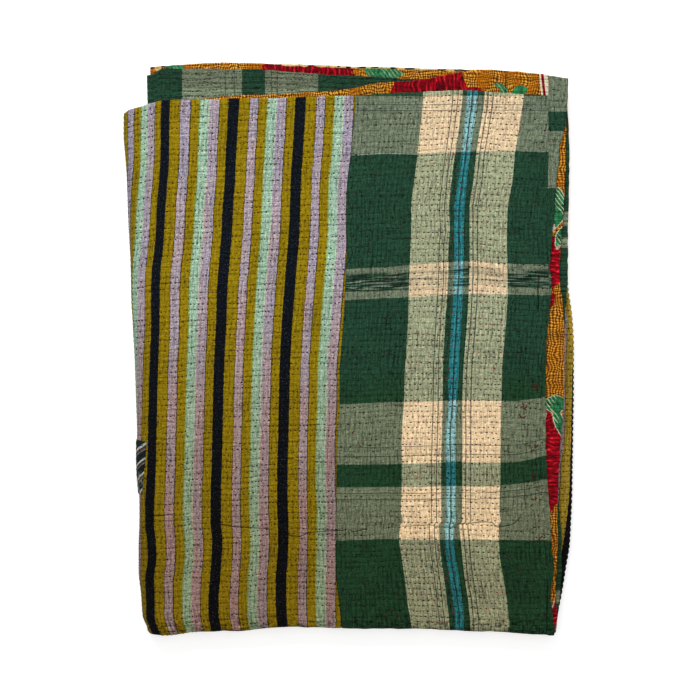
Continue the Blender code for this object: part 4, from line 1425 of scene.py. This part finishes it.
class QuiltSettings(bpy.types.PropertyGroup):
    """Sizes and colours of the quilt that a user would change."""

    row_rise: bpy.props.FloatProperty(
        name="Row Rise", description="How far the cloth stands up between rows of stitches",
        default=0.00028, min=0.0, max=0.001, unit="LENGTH")
    fold_rise: bpy.props.FloatProperty(
        name="Fold Rise", description="Extra rise of the rows where the cloth turns at the right",
        default=0.00080, min=0.0, max=0.002, unit="LENGTH")
    stitch_length: bpy.props.FloatProperty(
        name="Stitch Length", description="Visible length of one running stitch",
        default=0.0027, min=0.001, max=0.006, unit="LENGTH")
    stitch_width: bpy.props.FloatProperty(
        name="Stitch Width", description="Width of the doubled sewing thread",
        default=0.00150, min=0.0003, max=0.002, unit="LENGTH")
    black: colour_setting(name="Black Stripe", default=(0.040, 0.062, 0.088),
        description="Colour of the black stripes")
    olive: colour_setting(name="Olive Stripe", default=(0.585, 0.492, 0.030),
        description="Colour of the olive stripes")
    lavender: colour_setting(name="Lavender Stripe", default=(0.660, 0.605, 0.650),
        description="Colour of the lavender stripes")
    lavender_blue: colour_setting(name="Bluish Lavender", default=(0.560, 0.550, 0.655),
        description="Colour that the lavender stripes drift to in places")
    lavender_pink: colour_setting(name="Pinkish Lavender", default=(0.700, 0.565, 0.580),
        description="Colour that the lavender stripes fade to in places")
    mint: colour_setting(name="Mint Stripe", default=(0.610, 0.765, 0.670),
        description="Colour of the mint stripes")
    dark_green: colour_setting(name="Dark Green", default=(0.140, 0.275, 0.200),
        description="Dark warp over dark weft")
    grey_green: colour_setting(name="Grey Green", default=(0.450, 0.495, 0.405),
        description="Dark warp over cream weft")
    light_on_dark: colour_setting(name="Sage", default=(0.655, 0.675, 0.540),
        description="Cream warp over dark weft")
    cream: colour_setting(name="Cream", default=(0.915, 0.810, 0.655),
        description="Cream warp over cream weft")
    teal: colour_setting(name="Teal", default=(0.185, 0.525, 0.550),
        description="Blue warp over dark weft")
    blue: colour_setting(name="Pale Blue", default=(0.555, 0.750, 0.750),
        description="Blue warp over cream weft")
    navy: colour_setting(name="Navy", default=(0.105, 0.165, 0.175),
        description="Thin lines of the plaid and the ground of the patch")
    gold: colour_setting(name="Gold", default=(0.640, 0.375, 0.045),
        description="Ground of the print")
    crimson: colour_setting(name="Crimson", default=(0.500, 0.015, 0.075),
        description="Flowers of the print")
    leaf_green: colour_setting(name="Leaf Green", default=(0.170, 0.450, 0.280),
        description="Leaves of the print")
    thread: colour_setting(name="Thread", default=(0.130, 0.035, 0.030),
        description="Colour of most of the sewing thread")
    red_thread: colour_setting(name="Red Thread", default=(0.360, 0.045, 0.085),
        description="Colour of the red sewing thread")


COLUMN_END = LEFT_FOLD + 0.029    # the top pieces end here, flat under the outer fold
FOLD_PIECE = 0.040                # half width of the piece on the right fold
FAR_END = FAR_LEFT_FOLD - 0.021   # the third column ends here, before its left fold
HEM_PIECE = FULL_WIDTH - 0.034    # the last column's hem piece starts here
ROW_STEP = QUILT_PITCH / 4.0      # grid step down the cloth where the rows are quilted
PLAIN_STEP = 0.012                # and where the cloth is flat and hidden
FOLD_REACH = 0.010                # how far the fine grid reaches on each side of a fold


def lower_fold_lines():
    """Lines close together down the two sides of the lower fold."""
    return steps(ROW_LENGTH - FOLD_REACH, ROW_LENGTH + FOLD_REACH, 0.0012)


def far_hem(end):
    """Lines beside a rounded hem at the far end of a piece."""
    return (end - HEM_LINES)[::-1]


def plain_down(step=PLAIN_STEP, start_depth=FOLD_REACH, end_depth=FOLD_REACH):
    """Lines down both rows: a step apart for the given depths at the hems, coarse between."""
    first = steps(HEM_LINES[-1], start_depth, step)
    last = steps(FULL_LENGTH - end_depth, FULL_LENGTH - HEM_LINES[-1], step)
    return join_lines(
        HEM_LINES, first, steps(first[-1], ROW_LENGTH - FOLD_REACH, PLAIN_STEP),
        lower_fold_lines(), steps(ROW_LENGTH + FOLD_REACH, last[0], PLAIN_STEP), last,
        far_hem(FULL_LENGTH))


def quilted_down():
    """Lines down both rows, four to each row of quilting."""
    return join_lines(
        HEM_LINES, steps(HEM_LINES[-1], ROW_LENGTH - FOLD_REACH, ROW_STEP), lower_fold_lines(),
        steps(ROW_LENGTH + FOLD_REACH, FULL_LENGTH - HEM_LINES[-1], ROW_STEP),
        far_hem(FULL_LENGTH))


def square_grid(lines, along):
    """A grid of places across and down the cloth, from lines that cross squarely."""
    down, across = np.meshgrid(along, lines, indexing="ij")
    return across, down


def span(lines):
    """Distance from the first line to the last."""
    return float(lines[-1] - lines[0])


class QUILT_OT_striped_panel(bpy.types.Operator):
    """Lay the striped panel that covers the left of the top and turns under the fold"""
    bl_idname = "quilt.striped_panel"
    bl_label = "Striped Panel"

    def execute(self, context):
        settings = context.scene.quilt_settings
        along = down_lines(ROW_STEP)
        first = place_of_line("panel_seam", along) + SEAM_GAP
        last = np.full_like(along, COLUMN_END - SEAM_GAP)
        width = float(np.mean(last - first))
        across, down = lay_grid(first, last, graded(width, 0.00285, False, False), along)
        cloth_piece(
            "striped_panel", across, down, striped_cotton, settings, (width, float(along[-1])),
            "turned_panel", top_weave, ends=PANEL_END, hems=("first_along",),
            seams=("first_across",), rise=settings.row_rise, top_layer=True, sewn=0.0)
        return {"FINISHED"}


class QUILT_OT_plaid_panel(bpy.types.Operator):
    """Lay the plaid panel on the right of the top, and the narrow strip down its hem"""
    bl_idname = "quilt.plaid_panel"
    bl_label = "Plaid Panel and Side Strip"

    def execute(self, context):
        settings = context.scene.quilt_settings
        along = down_lines(ROW_STEP)
        seam = place_of_line("panel_seam", along) - SEAM_GAP
        hem = place_of_line("strip_seam", along)
        width = float(np.mean(seam - hem))
        length = float(along[-1])
        across, down = lay_grid(hem + STRIP_GAP, seam, graded(width, 0.0026, False, False), along)
        cloth_piece(
            "plaid_panel", across, down, plaid_cotton, settings, (width, length), "turned_panel",
            top_weave, ends=PANEL_END, hems=("first_along",), seams=("last_across",),
            rise=settings.row_rise, top_layer=True, sewn=0.0)
        inner = place_of_line("strip_seam", along, STRIP_END) - STRIP_GAP
        width = float(np.mean(inner))
        shares = graded(width, 0.0018, True, False)
        across, down = lay_grid(np.zeros_like(inner), inner, shares, along)
        cloth_piece(
            "side_strip", across, down, plaid_cotton, settings, (STRIP_WIDTH, length),
            "turned_hem", strip_weave, area=width * length, ends=STRIP_END,
            hems=("first_across", "first_along"), rise=settings.row_rise, top_layer=True,
            sewn=0.0)
        return {"FINISHED"}


class QUILT_OT_lower_column(bpy.types.Operator):
    """Lay the first column's lower row, printed side up, whose end shows at the top"""
    bl_idname = "quilt.lower_column"
    bl_label = "Lower First Column"

    def execute(self, context):
        settings = context.scene.quilt_settings
        in_sight = FULL_LENGTH - 0.040
        bend = 0.006
        along = join_lines(
            steps(ROW_LENGTH + UNDER_FOLD + SEAM_GAP, in_sight, PLAIN_STEP),
            steps(in_sight, FULL_LENGTH - HEM_LINES[-1], ROW_STEP), far_hem(FULL_LENGTH))
        lines = join_lines(
            HEM_LINES, steps(HEM_LINES[-1], LEFT_FOLD - bend, 0.0032),
            steps(LEFT_FOLD - bend, LEFT_FOLD + bend, 0.0008),
            steps(LEFT_FOLD + bend, COLUMN_END - SEAM_GAP, 0.006))
        cloth_piece(
            "lower_column", *square_grid(lines, along), striped_cotton, settings,
            (span(lines), span(along)), "second_column", top_weave,
            hems=("first_across", "last_along"), rise=UNDER_RISE, motifs=LOWER_MOTIFS,
            marks=edge_marks)
        return {"FINISHED"}


class QUILT_OT_middle_columns(bpy.types.Operator):
    """Lay the two middle columns, which lie underneath and turn at the right"""
    bl_idname = "quilt.middle_columns"
    bl_label = "Middle Columns"

    def execute(self, context):
        settings = context.scene.quilt_settings
        reach = FOLD_PIECE + SEAM_GAP
        hidden = (
            ("second_column", COLUMN_END, RIGHT_FOLD - reach, "floor"),
            ("third_column", RIGHT_FOLD + reach, FAR_END - SEAM_GAP, "second_column"),
        )
        for name, start, end, rests_on in hidden:
            lines = steps(start, end, PLAIN_STEP)
            cloth_piece(
                name, *square_grid(lines, plain_down()), striped_cotton, settings,
                (span(lines), FULL_LENGTH), rests_on, fold_weave, hems=BOTH_ENDS)
        bend = 0.0042
        lines = join_lines(
            steps(RIGHT_FOLD - FOLD_PIECE, RIGHT_FOLD - bend, 0.0030),
            steps(RIGHT_FOLD - bend, RIGHT_FOLD + bend, 0.0007),
            steps(RIGHT_FOLD + bend, RIGHT_FOLD + FOLD_PIECE, 0.0060))
        cloth_piece(
            "turned_fold", *square_grid(lines, quilted_down()), striped_cotton, settings,
            (span(lines), FULL_LENGTH), "floor", fold_weave, hems=BOTH_ENDS, rise=UNDER_RISE,
            fold_rise=settings.fold_rise)
        return {"FINISHED"}


class QUILT_OT_last_column(bpy.types.Operator):
    """Lay the last column, whose print and turned plaid show at the top and the right"""
    bl_idname = "quilt.last_column"
    bl_label = "Last Column"

    def execute(self, context):
        settings = context.scene.quilt_settings
        bend = FAR_LEFT_FOLD + 0.018
        panel_lines = join_lines(
            steps(FAR_END, bend, 0.0020), steps(bend, HEM_PIECE - SEAM_GAP, 0.0030))
        hem_lines = join_lines(
            steps(HEM_PIECE, FULL_WIDTH - HEM_LINES[-1], 0.0017), far_hem(FULL_WIDTH))
        pieces = (
            ("turned_panel", panel_lines, plain_down(ROW_STEP, 0.048, 0.064), BOTH_ENDS),
            ("turned_hem", hem_lines, quilted_down(), ("last_across",) + BOTH_ENDS),
        )
        for name, lines, along, hems in pieces:
            cloth_piece(
                name, *square_grid(lines, along), plaid_cotton, settings,
                (span(lines), FULL_LENGTH), "lower_column", turned_weave, hems=hems,
                rise=UNDER_RISE, motifs=BACK_MOTIFS)
        return {"FINISHED"}


class QUILT_OT_fold_patch(bpy.types.Operator):
    """Sew the small navy patch over the outer fold"""
    bl_idname = "quilt.fold_patch"
    bl_label = "Fold Patch"

    def execute(self, context):
        settings = context.scene.quilt_settings
        down_share = np.linspace(0.0, 1.0, 32)
        round_share = np.linspace(0.0, 1.0, 20)
        edge = np.interp(down_share, *PATCH_EDGE)
        inner = LEFT_FOLD - 0.5 * math.pi * OUTER_RADIUS + edge
        along = PATCH_START + PATCH_LENGTH * down_share
        outer_end = np.full_like(along, PATCH_END)
        across, down = lay_grid(inner, outer_end, round_share, along)
        askew = np.clip(1.0 - round_share / 0.6, 0.0, 1.0)
        down = down + PATCH_SKEW * (1.0 - down_share)[:, None] * askew[None, :]
        _, place, normal = facing(across, down, PANEL_END)
        wavy = puff(across, down, settings.row_rise)
        ragged = PATCH_RAGGED * noise(across, down, 0.004, SEED + 5)
        share = edge_thickness(across, down, ("first_across", "last_across") + BOTH_ENDS, ())
        low = 0.5 * CLOTH_THICK + PATCH_GAP + wavy
        high = low + PATCH_THICK * share + ragged
        outer = place + high[..., None] * normal
        mesh = closed_sheet("fold_patch_cloth", outer, place + low[..., None] * normal)
        phase = row_phase(across, down)
        stitch = stitch_place(across, np.floor(phase).astype(int))
        nothing = np.zeros_like(across)
        set_vectors(mesh, "weave", across, down, phase)
        set_vectors(mesh, "crease", nothing, nothing, phase)
        set_vectors(mesh, "sewing", stitch, nothing + 1.0, nothing)
        cloth = shared_material(feathered_cotton, settings)
        piece = new_piece("sewn_patch", mesh, [cloth, cloth])
        declare_cloth("fold_patch")
        return {"FINISHED"}


def cloths_under(across, along):
    """Rows of yes and no: on the plaid, its light squares, a black stripe, a pale stripe."""
    here = Folded(across, along, PANEL_END)
    weave = woven_place(here.flat_x, here.y)
    on_plaid = across < place_of_line("panel_seam", along)
    light = (weave > 0.3210) & (weave < 0.3888) | (weave > 0.3963) & (weave < 0.4454)
    share = np.mod(weave + BLACK_HALF, STRIPE_REPEAT) / STRIPE_REPEAT
    on_black = ~on_plaid & (share < 0.1555)
    in_pale = (share > 0.314) & (share < 0.445) | (share > 0.582) & (share < 0.868)
    return np.stack((on_plaid, light, on_black, ~on_plaid & in_pale))


def by_cloth(cloths, dark, light, stripes, black):
    """A value for the plaid's dark and light squares, for the stripes and for the black ones."""
    on_plaid, on_light, on_black, _ = cloths
    on_top = np.where(on_plaid, np.where(on_light, light, dark), stripes)
    return np.where(on_black, black, on_top)


class QUILT_OT_stitches(bpy.types.Operator):
    """Sew the rows of running stitches over the whole top"""
    bl_idname = "quilt.stitches"
    bl_label = "Running Stitches"

    def execute(self, context):
        settings = context.scene.quilt_settings
        dice = np.random.default_rng(SEED + 6)
        across, along, row = self.places(dice)
        cloths = cloths_under(across, along)
        kept = dice.random(len(along)) > self.sunk(across, along, row, cloths)
        across, along, cloths = across[kept], along[kept], cloths[:, kept]
        on_strip = across < place_of_line("strip_seam", along)
        centres, ups = self.on_cloth(across, along, on_strip, settings)
        ahead, _ = self.on_cloth(across + AHEAD, along, on_strip, settings)
        ways = unit(ahead - centres)
        tilt = dice.normal(0.0, STITCH_TILT, len(across))
        ways = unit(ways + tilt[:, None] * np.cross(ups, ways))
        half_long = 0.5 * settings.stitch_length * dice.uniform(0.65, 1.25, len(across))
        half_long = half_long * by_cloth(cloths, 1.12, 1.12, 0.92, 0.92)
        half_wide = 0.5 * settings.stitch_width * by_cloth(cloths, 1.0, 1.0, 1.15, 1.15)
        loose = self.loose_threads(settings)
        sewn = (centres + THREAD_LIFT * ups, ways, ups, half_long, half_wide)
        threads = [np.concatenate(pair) for pair in zip(sewn, loose)]
        mesh = threads_mesh("running_stitches", *threads, THREAD_HALF_HEIGHT)
        red_dye = np.array(linear(settings.red_thread)[:3])
        dye = self.dyes(dice, across, along, cloths, settings)
        dye = np.concatenate((dye, np.tile(red_dye, (len(loose[0]), 1))))
        set_vectors(mesh, "dye", *np.repeat(dye, THREAD_POINTS, axis=0).T)
        piece = new_piece("running_stitches", mesh, [shared_material(sewing_thread, settings)])
        return {"FINISHED"}

    def places(self, dice):
        """Where every stitch lies, across and along the cloth, and the row it is in."""
        rows = np.arange(0, int(ROW_LENGTH / QUILT_PITCH))
        counts = np.arange(1, int(COLUMN_WIDTH / STRIPE_PITCH) + 4)
        row, count = [grid.ravel() for grid in np.meshgrid(rows, counts, indexing="ij")]
        across = count * STRIPE_PITCH
        for _ in range(8):
            across = across - (stitch_place(across, row) - count) * STRIPE_PITCH
        kept = (across > FIRST_STITCH) & (across < LEFT_FOLD + PAST_FOLD)
        across, row = across[kept], row[kept]
        along = row_along(across, row)
        kept = (along > FIRST_ROW) & (along < ROW_LENGTH + PAST_FOLD)
        across, along, row = across[kept], along[kept], row[kept]
        return across, along + dice.normal(0.0, STITCH_WAVER, len(along)), row

    def sunk(self, across, along, row, cloths):
        """The chance that a stitch is out of sight: sunk in its cloth, or a missed stretch."""
        usual = by_cloth(cloths, 0.66, 0.07, 0.22, 0.62)
        stretch = noise(across + 3.1 * row, 0.0 * across, 0.036, SEED + 20)
        missed = np.clip((stretch - by_cloth(cloths, 0.18, 0.60, 0.18, 0.18)) / 0.25, 0.0, 1.0)
        return usual + 0.5 * usual * noise(across, along, 0.030, SEED + 17) + 0.80 * missed

    def dyes(self, dice, across, along, cloths, settings):
        """A colour for each stitch: brown or red, darker or lighter as its cloth makes it."""
        on_plaid, _, on_black, on_pale = cloths
        red = dice.random(len(across)) < by_cloth(cloths, 0.35, 0.26, 0.20, 0.20)
        fresh = 0.14 + 0.32 * noise(across, along, 0.035, SEED + 18)
        red |= ~on_plaid & (dice.random(len(across)) < fresh)
        red &= ~on_black | (dice.random(len(across)) < 0.4)
        tone = dice.uniform(0.5, 1.25, len(across)) * by_cloth(cloths, 0.40, 2.2, 1.0, 0.40)
        brown_dye = np.array(linear(settings.thread)[:3])
        red_dye = np.array(linear(settings.red_thread)[:3])
        dye = np.where(red[:, None], red_dye, brown_dye) * tone[:, None]
        on_olive = ~on_plaid & ~on_black & ~on_pale
        return dye * np.where((on_olive & ~red)[:, None], OLIVE_THREAD, 1.0)

    def loose_threads(self, settings):
        """Centres, ways, ups, half lengths and half widths of the plaid's loose ends.

        Each place across and down the cloth is found by moving it by what its point
        still lacks, a dozen times over.
        """
        table = np.array(LOOSE_THREADS, dtype=float)
        x, y, length = table[:, 0] * MM, table[:, 1] * MM, table[:, 2] * MM
        angle = np.radians(table[:, 3])
        across = 0.28 - x
        along = 0.32 - y
        for _ in range(12):
            here = Folded(across, along, PANEL_END)
            across = across + (here.x - x)
            along = along + (here.y - y)
        centres, ups = self.on_cloth(across, along, across < -1.0, settings)
        ways = np.stack((np.cos(angle), np.sin(angle), 0.0 * angle), axis=-1)
        ways = unit(ways - np.sum(ways * ups, axis=1)[:, None] * ups)
        half_wide = np.full(len(length), LOOSE_HALF_WIDTH)
        return centres + LOOSE_LIFT * ups, ways, ups, 0.5 * length, half_wide

    def on_cloth(self, across, along, on_strip, settings):
        """Points and directions on the top of the panels, or of the side strip."""
        panel, strip = [top_surface(across[:, None], along[:, None], ends, settings)
                        for ends in (PANEL_END, STRIP_END)]
        return [np.where(on_strip[:, None], strip[part][:, 0], panel[part][:, 0])
                for part in range(2)]


class QUILT_OT_stage(bpy.types.Operator):
    """Set the pale floor, the soft lights and the camera straight above"""
    bl_idname = "quilt.stage"
    bl_label = "Stage"

    def execute(self, context):
        scene = context.scene
        low = QUILT_BOX[0][2] - FLOOR_GAP
        corners = ((-1, -1), (1, -1), (1, 1), (-1, 1))
        points = np.array([(x * FLOOR_REACH, y * FLOOR_REACH, low) for x, y in corners])
        mesh = smooth_mesh("floor", points, np.array(((0, 1, 2, 3),)))
        paper = Recipe("white paper")
        x, y, _ = paper.position()
        tooth = paper.noise(x, y, 0.002, 0.002)
        tone = paper.spread(tooth, 0.0, 1.0, 0.78, 0.82)
        paper.finish(paper.vector(tone, tone, tone), tooth * 0.05, 0.9)
        paper.shader.inputs["Emission Color"].default_value = WHITE
        paper.shader.inputs["Emission Strength"].default_value = FLOOR_GLOW
        mesh.materials.append(paper.material)
        floor = bpy.data.objects.new("floor", mesh)
        scene.collection.objects.link(floor)
        for lamp in LAMPS:
            self.light(scene, *lamp)
        world = scene.world or bpy.data.worlds.new("studio")
        scene.world = world
        world.use_nodes = True
        background = world.node_tree.nodes["Background"]
        background.inputs["Color"].default_value = WHITE
        background.inputs["Strength"].default_value = SKY_GLOW
        self.camera(scene)
        scene.view_settings.view_transform = "Standard"
        return {"FINISHED"}

    def light(self, scene, name, power, size, place):
        """A square soft light aimed at the middle of the quilt."""
        lamp = bpy.data.lights.new(name, "AREA")
        lamp.energy = power
        lamp.size = size
        item = bpy.data.objects.new(name, lamp)
        item.location = place
        direction = np.array(place) / np.linalg.norm(place)
        item.rotation_euler = (
            math.acos(direction[2]), 0.0, math.atan2(direction[0], -direction[1]))
        scene.collection.objects.link(item)

    def camera(self, scene):
        """A long lens straight above, so the quilt's outline keeps its proportions."""
        lens = bpy.data.cameras.new("camera")
        lens.sensor_width = SENSOR_WIDTH
        lens.lens = SENSOR_WIDTH * CAMERA_HEIGHT / VIEW_WIDTH
        lens.clip_end = 10.0 * CAMERA_HEIGHT
        item = bpy.data.objects.new("camera", lens)
        item.location = (CAMERA_X, CAMERA_Y, CAMERA_HEIGHT + FOCUS_HEIGHT)
        scene.collection.objects.link(item)
        scene.camera = item


OPERATORS = (
    QUILT_OT_striped_panel,
    QUILT_OT_plaid_panel,
    QUILT_OT_lower_column,
    QUILT_OT_middle_columns,
    QUILT_OT_last_column,
    QUILT_OT_fold_patch,
    QUILT_OT_stitches,
    QUILT_OT_stage,
)


class QUILT_PT_panel(bpy.types.Panel):
    """Lists the quilt's pieces and its stage"""
    bl_idname = "QUILT_PT_panel"
    bl_label = "Kantha Quilt"
    bl_space_type = "VIEW_3D"
    bl_region_type = "UI"
    bl_category = "Quilt"

    def draw(self, context):
        layout = self.layout
        settings = context.scene.quilt_settings
        for name in QuiltSettings.__annotations__:
            layout.prop(settings, name)
        for operator in OPERATORS:
            layout.operator(operator.bl_idname)


def register():
    bpy.utils.register_class(QuiltSettings)
    for operator in OPERATORS:
        bpy.utils.register_class(operator)
    bpy.utils.register_class(QUILT_PT_panel)
    bpy.types.Scene.quilt_settings = bpy.props.PointerProperty(type=QuiltSettings)


def unregister():
    del bpy.types.Scene.quilt_settings
    bpy.utils.unregister_class(QUILT_PT_panel)
    for operator in reversed(OPERATORS):
        bpy.utils.unregister_class(operator)
    bpy.utils.unregister_class(QuiltSettings)


def main():
    register()
    bpy.ops.quilt.stage()
    bpy.ops.quilt.striped_panel()
    bpy.ops.quilt.plaid_panel()
    bpy.ops.quilt.lower_column()
    bpy.ops.quilt.middle_columns()
    bpy.ops.quilt.last_column()
    bpy.ops.quilt.fold_patch()
    bpy.ops.quilt.stitches()


if __name__ == "__main__":
    main()
